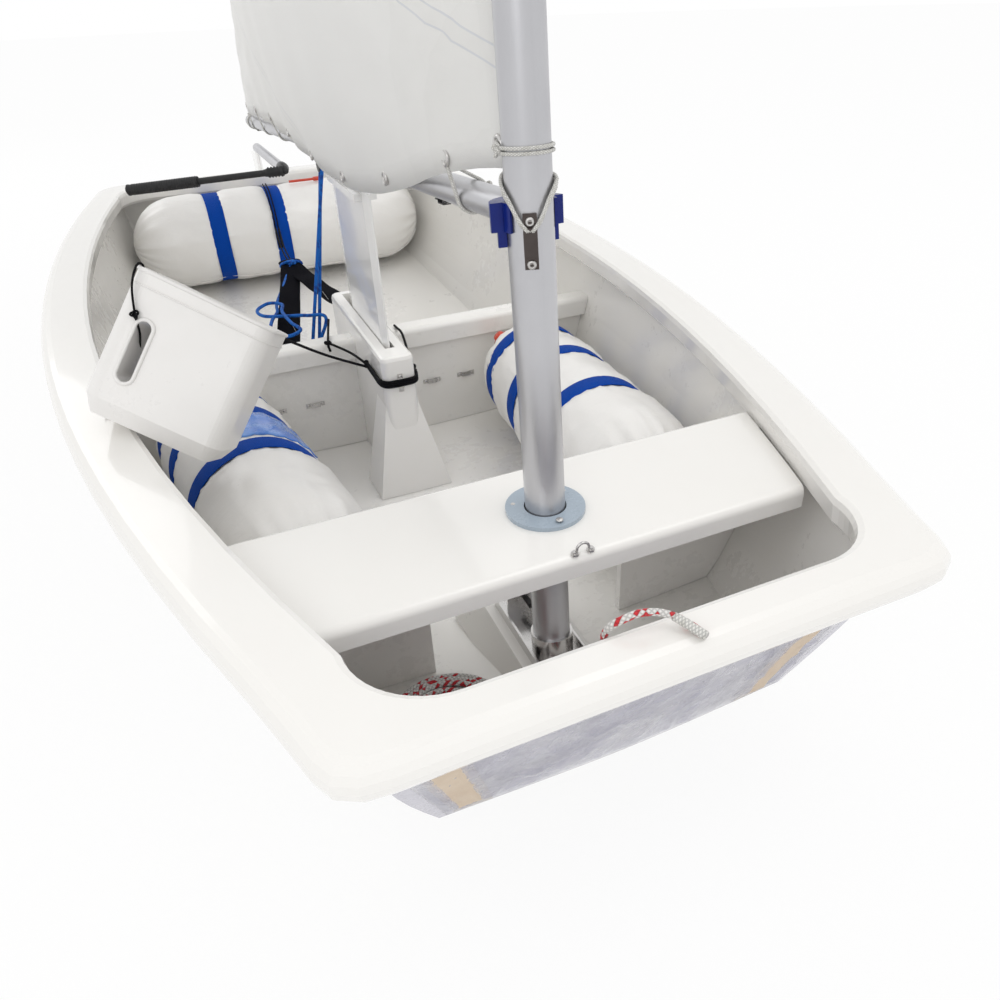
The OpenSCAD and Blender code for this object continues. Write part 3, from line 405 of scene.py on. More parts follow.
blueRope = rope("blueRope", (0.002, 0.15, 0.62, 1), (0.002, 0.07, 0.38, 1), 0.3, 0.0045, 4.0,
                Roughness=0.65, Specular_IOR_Level=0.3)
elasticCord = rope("elasticCord", (0.004, 0.004, 0.006, 1), (0.02, 0.02, 0.024, 1), 0.2, 0.0028, 4.0,
                   Roughness=0.75, Specular_IOR_Level=0.15)
print("materials made")

materialFor = {
    "hull_bottom": innerGelcoat, "mast_bulkhead": innerGelcoat, "midship_frame": innerGelcoat,
               "mast_step_pad": innerGelcoat,
    "hull_side_port": innerGelcoat, "hull_side_starboard": innerGelcoat, "stern_transom": gelcoat,
               "bow_transom": bowEndShade,
    "side_deck_port": gelcoat, "side_deck_starboard": gelcoat, "bow_deck": gelcoat, "stern_deck": gelcoat,
    "mast_thwart": gelcoat, "daggerboard_case": gelcoat, "mast_flange": paleBlue,
    "mast_step": stainless, "mast_step_knob": blackPlastic, "wire_eye": stainless, "eye_straps": stainless,
    "airbag_port": vinyl, "airbag_starboard": vinyl, "airbag_stern": vinyl, "airbag_straps": blueWebbing,
    "inflation_tubes": redPlastic, "hiking_straps": blackWebbing, "rudder_gudgeons": stainless,
               "drain_plugs": whitePlastic,
    "floor_block": blackPlastic, "bailer": jugPlastic, "painter": painterRope, "painter_coil": painterRope,
    "mast": alloy, "mast_cap": blackPlastic, "mast_eye_strap": darkSteel, "boom": alloy,
               "boom_jaws": navyPlastic,
    "boom_fittings": blackPlastic, "sprit": alloy, "sail": foilPaint, "daggerboard": foilPaint,
               "board_stops": foilPaint,
    "rudder_blade": foilPaint, "rudder_pintles": stainless, "tiller": alloy, "tiller_extension": gripRubber}
for name, material in materialFor.items():
    if name not in nodes:
        continue
    slots = nodes[name].data.materials
    slots.clear()
    slots.append(material)


# making pieces
def makePiece(name, vertices, faces, material, body, uvs=None, smooth=True):
    mesh = bpy.data.meshes.new(name)
    mesh.from_pydata([tuple(v) for v in vertices], [], faces)
    if uvs:
        layer = mesh.uv_layers.new(name="UVMap")
        for polygon, corners in zip(mesh.polygons, uvs):
            for loop, corner in zip(polygon.loop_indices, corners):
                layer.data[loop].uv = corner
    edit = bmesh.new()
    edit.from_mesh(mesh)
    bmesh.ops.recalc_face_normals(edit, faces=edit.faces)
    edit.to_mesh(mesh)
    edit.free()
    mesh.polygons.foreach_set("use_smooth", [smooth] * len(mesh.polygons))
    mesh.materials.append(material)
    piece = bpy.data.objects.new(name, mesh)
    bpy.context.collection.objects.link(piece)
    if body:
        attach(piece, body)
    return piece


def routeFrames(route, up=None):
    frames = []
    side = None
    last = len(route) - 1
    for k, point in enumerate(route):
        ahead = (route[min(k + 1, last)] - route[max(k - 1, 0)]).normalized()
        guide = (up[k] if isinstance(up, list) else up) if up else side
        if guide is None:
            guide = Vector((0, 0, 1)) if abs(ahead.z) < 0.9 else Vector((1, 0, 0))
        normal = (guide - ahead * guide.dot(ahead)).normalized()
        frames.append((point, ahead.cross(normal).normalized(), normal))
        side = normal
    return frames


def sweepMesh(route, section, up=None, loop=False, start=0):
    frames = routeFrames(route + route[:2] if loop else route, up)
    if loop:
        frames = frames[1:len(route) + 1]
    count = len(section)
    vertices = [p + side * a + normal * b for p, side, normal in frames for a, b in section]
    around = [0]
    for k in range(count):
        a, b = section[k], section[(k + 1) % count]
        around.append(around[-1] + math.hypot(b[0] - a[0], b[1] - a[1]))
    along = [0]
    for k in range(1, len(frames) + 1):
        along.append(along[-1] + (frames[k % len(frames)][0] - frames[k - 1][0]).length)
    faces, uvs = [], []
    for i in range(len(frames) if loop else len(frames) - 1):
        following = (i + 1) % len(frames)
        for j in range(count):
            k = (j + 1) % count
            faces.append([start + i * count + j, start + i * count + k, start + following * count + k,
                          start + following * count + j])
            uvs.append([(around[j], along[i]), (around[j + 1], along[i]), (around[j + 1], along[i + 1]),
                        (around[j], along[i + 1])])
    if not loop:
        faces.append([start + j for j in reversed(range(count))])
        uvs.append([(0, 0)] * count)
        faces.append([start + (len(frames) - 1) * count + j for j in range(count)])
        uvs.append([(0, along[-2])] * count)
    return vertices, faces, uvs


def ringSection(radius, sides=10):
    return [(radius * math.cos(2 * math.pi * k / sides), radius * math.sin(2 * math.pi * k / sides))
            for k in range(sides)]


def bandSection(width, thick):
    w, t = width / 2, thick / 2
    return [(-w, -t * 0.4), (-w + t, -t), (0, -t), (w - t, -t), (w, -t * 0.4), (w, t * 0.4), (w - t, t),
            (0, t), (-w + t, t), (-w, t * 0.4)]


def ropes(name, runs, radius, material, body, sides=10):
    vertices, faces, uvs = [], [], []
    for run in runs:
        route, loop = run if isinstance(run, tuple) else (run, False)
        v, f, u = sweepMesh(route, ringSection(radius, sides), loop=loop, start=len(vertices))
        vertices += v
        faces += f
        uvs += [[(a / (2 * math.pi * radius), b) for a, b in corners] for corners in u]
    return makePiece(name, vertices, faces, material, body, uvs)


def bands(name, runs, width, thick, material, body):
    vertices, faces, uvs = [], [], []
    for route, up, loop in runs:
        v, f, u = sweepMesh(route, bandSection(width, thick), up, loop, len(vertices))
        vertices += v
        faces += f
        uvs += u
    return makePiece(name, vertices, faces, material, body, uvs)


def turned(name, items, material, body, sides=24):
    # each item: a point, its axis and a profile of (radius, height) from bottom to top
    edit = bmesh.new()
    for origin, axis, profile in items:
        turn = Vector((0, 0, 1)).rotation_difference(axis.normalized()).to_matrix()
        outline = [edit.verts.new(origin + turn @ Vector((r, 0, h))) for r, h in profile]
        edges = [edit.edges.new(pair) for pair in zip(outline, outline[1:])]
        bmesh.ops.spin(edit, geom=outline + edges, cent=origin, axis=turn @ Vector((0, 0, 1)),
                       dvec=(0, 0, 0), angle=2 * math.pi, steps=sides, use_merge=True)
    bmesh.ops.holes_fill(edit, edges=[edge for edge in edit.edges if edge.is_boundary], sides=0)
    edit.verts.index_update()
    vertices = [vertex.co.copy() for vertex in edit.verts]
    faces = [[vertex.index for vertex in face.verts] for face in edit.faces]
    edit.free()
    return makePiece(name, vertices, faces, material, body)


def knot(center, size, axis=Vector((0, 0, 1)), spin=0.0):
    turn = Vector((0, 0, 1)).rotation_difference(axis.normalized()).to_matrix() @ Matrix.Rotation(spin, 3,
            "Z")
    points = []
    for k in range(48):
        t = 2 * math.pi * k / 48
        points.append(center + turn @ Vector((math.sin(t) + 2 * math.sin(2 * t),
                                              math.cos(t) - 2 * math.cos(2 * t), -math.sin(3 * t) * 1.1))
                      * size / 3)
    return points, True


def hoop(center, axis, across, wide, tall, count=40):
    axis = axis.normalized()
    side = (across - axis * across.dot(axis)).normalized()
    other = axis.cross(side)
    return [center + side * wide * math.cos(2 * math.pi * k / count) + other * tall
            * math.sin(2 * math.pi * k / count) for k in range(count)], True


def strop(spar, radius, hole, place, count=26):
    dx, dy = hole[0] - spar[0], hole[1] - spar[1]
    far = max(math.hypot(dx, dy), radius * 1.05)
    toward, half = math.atan2(dy, dx), math.acos(radius / far)
    points = [(spar[0] + radius * math.cos(a), spar[1] + radius * math.sin(a))
              for a in [toward + half + (2 * math.pi - 2 * half) * k / count for k in range(count + 1)]]
    last, first = points[-1], points[0]
    tip = (spar[0] + math.cos(toward) * far, spar[1] + math.sin(toward) * far)
    lead = [(last[0] + (tip[0] - last[0]) * f, last[1] + (tip[1] - last[1]) * f) for f in (0.3, 0.6, 0.88)]
    back = [(tip[0] + (first[0] - tip[0]) * f, tip[1] + (first[1] - tip[1]) * f) for f in (0.12, 0.4, 0.7)]
    return [place(*p) for p in points + lead + [tip] + back], True


domed = [(1.0, -0.4), (1.0, 0.1), (0.86, 0.3), (0.55, 0.48), (0.2, 0.55)]


def dome(center, axis, radius, height=None):
    height = height or radius
    return center, axis, [(r * radius, h * height) for r, h in domed]


def popRivet(center, axis, radius):
    return center, axis, [(r * radius, h * radius)
                          for r, h in ((1.0, -0.4), (1.0, 0.12), (0.84, 0.36), (0.52, 0.46), (0.42, 0.34),
                                       (0.38, 0.02), (0.05, 0.0))]


rake = math.radians(4)


def onMast(across, aft, up):
    c, s = math.cos(rake), math.sin(rake)
    return Vector((across, -0.86 + aft * c + up * s, 0.265 - aft * s + up * c))


mastUp = Vector((0, math.sin(rake), math.cos(rake)))
boomAlong = Vector((0, math.cos(rake), -math.sin(rake)))
acrossShip = Vector((1, 0, 0))

# painter: tied at the mast step, wound in a coil, then over the bow with a whipped end
coil = coilRoute(painter)
tie = smoothRoute(mm(painterTie))
over = smoothRoute([coil[-1], coil[-1] + Vector((0.012, -0.016, 0.004)), Vector((-0.103, -0.974, 0.070))]
                   + mm(painterEnd)[1:])
painterRoute = tie[:-1] + smoothRoute([tie[-1], tie[-1] + Vector((0.001, 0.012, -0.003)),
                                       coil[4]])[1:-1] + coil[4:-1] + over
kept = [painterRoute[0]]
for point in painterRoute:
    if (point - kept[-1]).length > 0.0034:
        kept.append(point)
painterRoute = kept
painterPiece = ropes("painter_rope", [painterRoute], painter["diameter"] / 2, painterRope, "hull",
                     sides=8)
end, before = painterRoute[-1], painterRoute[-8]
whippingRun = [[before.lerp(end, k / 9) for k in range(10)]]
whipping = ropes("painter_whipping", whippingRun, 0.0041, whiteLine, "hull", sides=12)
start = painterRoute[0]
bowline = ropes("painter_bowline", [knot(start + Vector((0.002, 0, 0.002)), 0.0095, Vector((0.3, 1, 0.4))),
                                    hoop(Vector((-0.004, -0.928, 0.076)), Vector((0, 0.2, 1)), acrossShip,
                                         0.012, 0.009)],
                0.0035, painterRope, "hull", sides=8)
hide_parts("painter", "painter_coil")

# inflated bags, straps pinching them
bagShape = {"pinch": 0.006, "pleats": 19, "creases": 0.004}


def bagFrame(bag):
    foot, head = Vector(bag["foot"]), Vector(bag["head"])
    along = (head - foot).normalized()
    top = (Vector((0, 0, 1)) - along * along.z).normalized()
    return foot, along, top, along.cross(top), (head - foot).length


def bagRadius(bag, s, length):
    nose, tail, full = bag["nose"], bag["tail"], bag["radius"]
    r = full
    if s < nose:
        r *= max(0.02, (1 - (1 - s / nose) ** 2.2)) ** 0.5
    if s > length - tail:
        r *= max(0.02, (1 - ((s - length + tail) / tail) ** 2.2)) ** 0.5
    for place in bag["straps"]:
        d = abs(s - place)
        r -= bagShape["pinch"] * math.exp(-(d / 0.024) ** 4) - 0.0015 * math.exp(-((d - 0.05) / 0.02) ** 2)
    return r


def bagPoint(bag, s, angle, lift=0.0):
    foot, along, top, out, length = bagFrame(bag)
    r = bagRadius(bag, s, length) * 0.985
    tips = math.exp(-(min(s / bag["nose"], (length - s) / bag["tail"]) * 1.7) ** 2)
    wobble = 1.7 * noise.noise(Vector((3 * s, bag["seed"], math.cos(angle))))
    pleat = abs(math.sin(bagShape["pleats"] * angle / 2 + wobble + 1.1 * math.sin(3 * angle)))
    r -= 0.011 * tips * pleat * min(1, r / 0.03)
    for place in bag["straps"]:
        d = abs(s - place)
        if 0.018 < d < 0.12:
            r -= 0.0022 * math.exp(-((d - 0.024) / 0.035) ** 2) * abs(math.sin(15 * angle + wobble * 2))
    spot = Vector((s * 9, math.cos(angle) * 1.4, math.sin(angle) * 1.4 + bag["seed"]))
    r += bagShape["creases"] * noise.noise(spot) - 0.0022 * abs(noise.noise(spot * 2.7))
    return foot + along * s + (top * math.cos(angle) + out * math.sin(angle)) * (r + lift)


def makeBag(name, bag, node):
    foot, along, top, out, length = bagFrame(bag)
    rings, sides = 150, 96
    stations = []
    for k in range(rings + 1):
        f = k / rings
        stations.append(length * (0.5 - 0.5 * math.cos(math.pi * f)) * 0.55 + length * f * 0.45)
    vertices = [bagPoint(bag, s, 2 * math.pi * j / sides) for s in stations for j in range(sides)]
    faces = []
    for i in range(rings):
        for j in range(sides):
            k = (j + 1) % sides
            faces.append([i * sides + j, i * sides + k, (i + 1) * sides + k, (i + 1) * sides + j])
    faces.append(list(reversed(range(sides))))
    faces.append([rings * sides + j for j in range(sides)])
    piece = makePiece(name, vertices, faces, vinyl, "hull")
    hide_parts(node)
    return piece


bags = {
    "airbag_port": {"foot": (0.238, -0.775, 0.121), "head": (0.327, -0.066, 0.072), "radius": 0.112,
                    "nose": 0.170, "tail": 0.080,
                    "straps": (0.285, 0.460, 0.615), "seed": 1.3},
    "airbag_starboard": {"foot": (-0.238, -0.775, 0.121), "head": (-0.327, -0.066, 0.072), "radius": 0.112,
                         "nose": 0.170, "tail": 0.080,
                         "straps": (0.340, 0.500, 0.615), "seed": 4.1},
    "airbag_stern": {"foot": (-0.410, 0.956, 0.172), "head": (0.410, 0.956, 0.172), "radius": 0.125,
                     "nose": 0.125, "tail": 0.125,
                     "straps": (0.228, 0.395, 0.618), "seed": 7.7}}
for name, bag in bags.items():
    makeBag(name + "_skin", bag, name)
strapRuns = []
for bag in bags.values():
    foot, along, top, out, length = bagFrame(bag)
    for s in bag["straps"]:
        r = bagRadius(bag, s, length) * 0.985 + 0.0022
        ring, up = [], []
        for k in range(72):
            a = 2 * math.pi * k / 72
            ray = top * math.cos(a) + out * math.sin(a)
            ring.append(foot + along * (s + 0.0015 * math.sin(3 * a)) + ray * r)
            up.append(ray)
        strapRuns.append((ring, up + up[:2], True))
bagStraps = bands("bag_straps", strapRuns, 0.042, 0.0016, blueWebbing, "hull")
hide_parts("airbag_straps")


def bagPatch(name, bag, s0, s1, a0, a1, lift, material):
    across, down = 24, 24
    vertices, faces = [], []
    for layer in (lift, lift - 0.0012):
        for i in range(across + 1):
            for j in range(down + 1):
                f, g = i / across, j / down
                corner = 0.08 * ((2 * f - 1) ** 8) * ((2 * g - 1) ** 8)
                s = s0 + (s1 - s0) * (0.5 + (f - 0.5) * (1 - corner))
                a = a0 + (a1 - a0) * (0.5 + (g - 0.5) * (1 - corner))
                vertices.append(bagPoint(bag, s, a, layer))
    size = (across + 1) * (down + 1)

    def at(i, j, layer=0):
        return layer * size + i * (down + 1) + j
    for i in range(across):
        for j in range(down):
            faces.append([at(i, j), at(i + 1, j), at(i + 1, j + 1), at(i, j + 1)])
            faces.append([at(i, j, 1), at(i, j + 1, 1), at(i + 1, j + 1, 1), at(i + 1, j, 1)])
    for i in range(across):
        faces.append([at(i, 0), at(i, 0, 1), at(i + 1, 0, 1), at(i + 1, 0)])
        faces.append([at(i, down), at(i + 1, down), at(i + 1, down, 1), at(i, down, 1)])
    for j in range(down):
        faces.append([at(0, j), at(0, j + 1), at(0, j + 1, 1), at(0, j, 1)])
        faces.append([at(across, j), at(across, j, 1), at(across, j + 1, 1), at(across, j + 1)])
    return makePiece(name, vertices, faces, material, "hull")


bagPatch("bag_blue_panel", bags["airbag_starboard"], 0.368, 0.472, -0.2, 1.25, 0.0013, skyVinyl)
# two welded seams on each bag, low on its sides
seamRuns = []
for bag in bags.values():
    length = bagFrame(bag)[4]
    for a in (2.5, -2.5):
        route = [bagPoint(bag, 0.012 + (length - 0.024) * k / 90, a, 0.0005) for k in range(91)]
        seamRuns.append((route, None, False))
bands("bag_seams", seamRuns, 0.0075, 0.0014, vinyl, "hull")
plug = {"bag": "airbag_port", "along": 0.685, "angle": -0.7,
        "profile": [(0.019, -0.002), (0.019, 0.002), (0.0125, 0.0035), (0.0115, 0.011), (0.0095, 0.0135),
                    (0.004, 0.0145)]}
foot, along, top, out, length = bagFrame(bags[plug["bag"]])
plugAxis = top * math.cos(plug["angle"]) + out * math.sin(plug["angle"])
plugItems = [(bagPoint(bags[plug["bag"]], plug["along"], plug["angle"]), plugAxis, plug["profile"])]
turned("bag_plugs", plugItems, redPlastic, "hull")
print("bags made")


# sail: same surface as the build's, with creases, panels and taped edges
sail = {"tack": (0.031, 0.352), "throat": (0.031, 2.072), "clew": (1.990, 0.342), "peak": (0.936, 2.912),
        "belly": 0.110}


def hump(s):
    return 4 * s * (1 - s)


def sailPoint(s, t, off=0.0):
    a = Vector(sail["tack"]).lerp(Vector(sail["throat"]), t)
    b = Vector(sail["clew"]).lerp(Vector(sail["peak"]), t)
    p = a.lerp(b, s)
    low = (1 - t) ** 7
    x = -sail["belly"] * hump(s ** 0.8) * hump(t ** 0.75) - 0.026 * low * min(1, 4 * hump(s))
    inward = min(1, hump(s) * 6) * min(1, hump(t) * 6)
    rays = 0
    for corner, reach in (((0, 1), 0.35), ((0, 0), 0.3), ((1, 0), 0.28), ((1, 1), 0.3)):
        ds, dt = abs(s - corner[0]), abs(t - corner[1])
        near = math.exp(-((ds * ds + dt * dt) ** 0.5 / reach) ** 2)
        rays += near * math.sin(22 * math.atan2(dt, ds + 1e-6))
    x += inward * (0.004 * rays + 0.006 * noise.noise(Vector((s * 5, t * 6, 2.0))))
    x += 0.003 * math.sin(s * 2 * math.pi * 9) * low
    return onMast(x + off, p.x + 0.0001 * hump(t), p.y - 0.075 * low * hump(s ** 0.6) ** 4)


cols, rows = 60, 76
vertices, faces, uvs = [], [], []
edgeValues, cornerValues = [], []
corners = [sailPoint(0, 0), sailPoint(0, 1), sailPoint(1, 0), sailPoint(1, 1)]
for off in (0.0006, -0.0006):
    for i in range(cols + 1):
        for j in range(rows + 1):
            s, t = i / cols, j / rows
            point = sailPoint(s, t, off)
            vertices.append(point)
            wide = 1.0 + 0.95 * (1 - t)
            edgeValues.append(min(s * wide, (1 - s) * wide, t * 2.1, (1 - t) * 2.1))
            cornerValues.append(min((point - c).length for c in corners))
size = (cols + 1) * (rows + 1)


def sailIndex(i, j, layer):
    return layer * size + i * (rows + 1) + j


def sailUv(i, j):
    p = sailPoint(i / cols, j / rows)
    return (p.y * 0.94 + p.z * 0.34, p.z * 0.94 - p.y * 0.34)


for i in range(cols):
    for j in range(rows):
        square = [(i, j), (i + 1, j), (i + 1, j + 1), (i, j + 1)]
        spots = [sailUv(*q) for q in square]
        for layer in (0, 1):
            faces.append([sailIndex(a, b, layer) for a, b in (square if layer == 0 else reversed(square))])
            uvs.append(spots if layer == 0 else list(reversed(spots)))
rim = ([(i, 0) for i in range(cols)] + [(cols, j) for j in range(rows)]
       + [(i, rows) for i in range(cols, 0, -1)] + [(0, j) for j in range(rows, 0, -1)])
for k, here in enumerate(rim):
    following = rim[(k + 1) % len(rim)]
    faces.append([sailIndex(*here, 0), sailIndex(*here, 1), sailIndex(*following, 1),
                  sailIndex(*following, 0)])
    uvs.append([sailUv(*here), sailUv(*here), sailUv(*following), sailUv(*following)])

sailcloth, tree, shader = newMaterial("sailcloth", Roughness=0.5, Sheen_Weight=0.1)
edgeNode = addNode(tree, "ShaderNodeAttribute")
edgeNode.attribute_name = "edge"
cornerNode = addNode(tree, "ShaderNodeAttribute")
cornerNode.attribute_name = "corner"
uvNode = tree.nodes.new("ShaderNodeUVMap")
uvSplit = tree.nodes.new("ShaderNodeSeparateXYZ")
tree.links.new(uvNode.outputs[0], uvSplit.inputs[0])


def nearLine(value, spacing, width):
    cell = math2(tree, "MODULO", math2(tree, "ADD", value, 40.0 * spacing), spacing)
    return math2(tree, "LESS_THAN", cell, width)


seams = nearLine(uvSplit.outputs[1], 0.46, 0.018)
seamEdge = math2(tree, "SUBTRACT", seams, nearLine(uvSplit.outputs[1], 0.46, 0.016))
stitchRows = math2(tree, "MAXIMUM", nearLine(uvSplit.outputs[1], 0.46, 0.002), seamEdge)
stitch = math2(tree, "MULTIPLY", stitchRows, nearLine(uvSplit.outputs[0], 0.006, 0.004))
tabling = math2(tree, "LESS_THAN", edgeNode.outputs["Fac"], 0.03)
patchA = math2(tree, "LESS_THAN", cornerNode.outputs["Fac"], 0.24)
patchB = math2(tree, "LESS_THAN", cornerNode.outputs["Fac"], 0.15)
layers = math2(tree, "ADD", math2(tree, "ADD", seams, tabling), math2(tree, "ADD", patchA, patchB))
shade = math2(tree, "MULTIPLY", math2(tree, "MINIMUM", layers, 3.0), 0.3)
base = mixColor(tree, shade, (0.84, 0.835, 0.815, 1), (0.78, 0.775, 0.755, 1))
clothNoise = addNode(tree, "ShaderNodeTexNoise", Scale=3.5, Detail=5.0)
coords = tree.nodes.new("ShaderNodeTexCoord")
tree.links.new(coords.outputs["Object"], clothNoise.inputs["Vector"])
stained = mixColor(tree, math2(tree, "MULTIPLY", clothNoise.outputs["Fac"], 0.14), base,
                   (0.70, 0.69, 0.66, 1))
tree.links.new(mixColor(tree, math2(tree, "MULTIPLY", stitch, 0.7), stained, (0.62, 0.64, 0.68, 1)),
               shader.inputs["Base Color"])
weaveNode = tree.nodes.new("ShaderNodeGroup")
weaveNode.node_tree = weave
weaveNode.inputs["Pitch"].default_value = 0.0011
weaveNode.inputs["Height"].default_value = 0.00025
bump = addNode(tree, "ShaderNodeBump", Strength=0.6, Distance=0.0006)
tree.links.new(layers, bump.inputs["Height"])
tree.links.new(weaveNode.outputs["Normal"], bump.inputs["Normal"])
tree.links.new(bump.outputs["Normal"], shader.inputs["Normal"])
sailPiece = makePiece("sail_cloth", vertices, faces, sailcloth, "boom", uvs)
for label, values in (("edge", edgeValues), ("corner", cornerValues)):
    attribute = sailPiece.data.attributes.new(label, "FLOAT", "POINT")
    attribute.data.foreach_set("value", values)
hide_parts("sail")

# battens' pockets, eyelets and the ties that hold the sail to its spars
battenRuns = []
for t, reach in ((0.30, 0.20), (0.55, 0.24), (0.80, 0.26)):
    for off in (0.0014, -0.0014):
        pocket = [sailPoint(1 - reach * k / 16 - 0.004, t + 0.012 * k / 16, off) for k in range(17)]
        battenRuns.append((pocket, Vector((1, 0, 0)), False))
pockets = bands("batten_pockets", battenRuns, 0.045, 0.0014, sailcloth, "boom")
luffPlaces = [0.012, 0.13, 0.26, 0.39, 0.52, 0.65, 0.78, 0.89, 0.985]
footPlaces = [0.06, 0.18, 0.31, 0.44, 0.57, 0.70, 0.83, 0.95]
rings = []
for t in luffPlaces:
    rings.append(hoop(sailPoint(0.012, t), Vector((1, 0, 0)), Vector((0, 1, 0)), 0.0075, 0.0075, 20))
for s in footPlaces:
    rings.append(hoop(sailPoint(s, 0.008), Vector((1, 0, 0)), Vector((0, 1, 0)), 0.0075, 0.0075, 20))
for s, t in ((0.985, 0.01), (0.98, 0.988)):
    rings.append(hoop(sailPoint(s, t), Vector((1, 0, 0)), Vector((0, 1, 0)), 0.011, 0.011, 24))
eyelets = ropes("sail_eyelets", rings, 0.0024, stainless, "boom", sides=8)
ties = []
for t in luffPlaces:
    hole = sailPoint(0.012, t) - onMast(0, 0, 0)
    up = hole.dot(mastUp)
    for lift in (-0.0022, 0.0022):
        through = (hole.x, hole.dot(boomAlong) + 0.006)
        ties.append(strop((0, 0), 0.0243, through, lambda x, a: onMast(x, a, up + lift)))
    ties.append(knot(onMast(-0.0262, 0.006, up), 0.0052, Vector((-1, 0, 0))))
for s in footPlaces:
    hole = sailPoint(s, 0.008) - onMast(0, 0, 0)
    aft, level = hole.dot(boomAlong), hole.dot(mastUp)
    for lift in (-0.002, 0.002):
        through = (hole.x, level - 0.004)
        ties.append(strop((0, 0.316), 0.0178, through, lambda x, h: onMast(x, aft + lift, h)))
    ties.append(knot(onMast(0.0195, aft, 0.322), 0.0052, Vector((1, 0, 0))))
sailTies = ropes("sail_ties", ties, 0.0017, whiteLine, "boom", sides=8)
print("sail made")

# lines on the spars: clew outhaul, sprit's snotter and the lashing through the mast's eye
clew, peak = sailPoint(0.985, 0.01), sailPoint(0.98, 0.988)
boomLines = [hoop(onMast(0, 1.975, 0.316), boomAlong, Vector((0, 0, 1)), 0.0185, 0.0185, 32),
             hoop(onMast(0, 1.981, 0.316), boomAlong, Vector((0, 0, 1)), 0.0185, 0.0185, 32),
             [clew.lerp(onMast(0, 1.978, 0.3345), k / 4) for k in range(5)],
             [clew.lerp(onMast(0, 2.042, 0.334), k / 6) for k in range(7)],
             knot(onMast(0, 2.046, 0.336), 0.006, boomAlong)]
headTip = onMast(0.0175, 0.930, 2.922)
boomLines += [[peak.lerp(headTip, k / 4) for k in range(5)], knot(headTip + Vector((0, 0, 0.002)), 0.006)]
spritFoot = onMast(0.042, -0.008, 0.804)
boomLines += [smoothRoute([spritFoot, onMast(0.034, -0.018, 0.85), onMast(0.026, -0.012, 0.92),
                           onMast(0.0, -0.0255, 0.98)]),
              hoop(onMast(0, 0, 0.982), mastUp, acrossShip, 0.0245, 0.0245, 36),
              hoop(onMast(0, 0, 0.986), mastUp, acrossShip, 0.0245, 0.0245, 36),
              knot(onMast(0.006, -0.027, 0.984), 0.0062, Vector((0, -1, 0)))]
ropes("spar_lines", boomLines, 0.0019, whiteLine, "boom", sides=8)
eyeTurn = math.radians(25)
eyeOut = Matrix.Rotation(-eyeTurn, 3, "Z") @ Vector((0, -1, 0))


def byEye(side, out, up):
    sideways = Vector((-eyeOut.y, eyeOut.x, 0))
    return onMast(0, 0, 0.296 + up) + eyeOut * out + sideways * side


lashing = []
for k in range(3):
    for side, far in ((1, 205), (-1, 155)):
        strand = []
        for turn, height in ((0, 0.3055), (9, 0.309), (22, 0.3165), (40, 0.3285), (62, 0.3375),
                             (95, 0.3440), (far * 0.75, 0.3485), (far, 0.3505)):
            a = -eyeTurn + side * math.radians(turn + 2.5 * k)
            r = 0.0245 + 0.0015 * (turn < 30) + 0.0006 * k
            strand.append(onMast(r * math.sin(a), -r * math.cos(a),
                                 height + 0.0034 * (k - 1) * min(1, turn / 20)))
        lashing.append(smoothRoute(strand))
tackHole = sailPoint(0.012, 0.012)
for k in range(3):
    lashing.append(smoothRoute([onMast(0.002 * (k - 1), 0.0245, 0.3505 + 0.0034 * (k - 1)),
                                onMast(0.001, 0.034, 0.351), tackHole
                                + Vector((0.002 * (k - 1), 0.002, 0))]))
lashing.append(knot(onMast(0.003, 0.0285, 0.353), 0.0062, Vector((0, 1, 0))))
ropes("tack_lashing", lashing, 0.0017, whiteLine, "mast", sides=8)

# mainsheet, from the boom's block to the floor's and on to the toe straps
low, high = (Vector(v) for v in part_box("floor_block"))
floorBlock = Vector((-0.115, 0.090, high.z - 0.017))
boomBlock = onMast(0, 1.010, 0.278)
sheetRuns = []
for a, b in ((-0.010, -0.011), (0.010, 0.011)):
    top, bottom = boomBlock + boomAlong * a, floorBlock + Vector((b, 0, 0.004))
    sheetRuns.append([bottom.lerp(top, k / 40) for k in range(41)])
mainsheet = ropes("mainsheet_falls", sheetRuns, 0.0036, blueRope, None, sides=10)
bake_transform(mainsheet)
sheave = [floorBlock + Vector((0.0125 * math.cos(a), 0, 0.0125 * math.sin(a)))
          for a in [math.pi + math.pi * k / 20 for k in range(21)]]
lead = smoothRoute([Vector(p) for p in (
    (-0.1275, 0.092, floorBlock.z), (-0.122, 0.094, 0.030), (-0.090, 0.096, 0.110),
    (-0.055, 0.091, 0.186), (-0.090, 0.112, 0.192), (-0.125, 0.134, 0.190), (-0.170, 0.170, 0.186),
    (-0.178, 0.214, 0.186), (-0.150, 0.236, 0.190), (-0.126, 0.205, 0.193), (-0.134, 0.150, 0.196),
    (-0.128, 0.080, 0.194), (-0.117, 0.040, 0.190), (-0.146, 0.022, 0.188), (-0.172, 0.060, 0.187),
    (-0.160, 0.130, 0.187), (-0.140, 0.190, 0.183), (-0.130, 0.262, 0.178), (-0.096, 0.380, 0.178),
    (-0.066, 0.480, 0.182), (-0.052, 0.512, 0.186))])
strapHeight = 0.1845


def roundStraps(x, z):
    return Vector((x, 0.524, strapHeight + (z - strapHeight) * 0.33))


sheetEnd = [sheave, lead, knot(Vector((-0.050, 0.516, 0.192)), 0.010, Vector((0, 0.2, 1))),
            strop((-0.050, strapHeight), 0.026, (-0.050, 0.2110), roundStraps)]
ropes("mainsheet_lead", sheetEnd, 0.0036, blueRope, "hull")
print("rigging made")
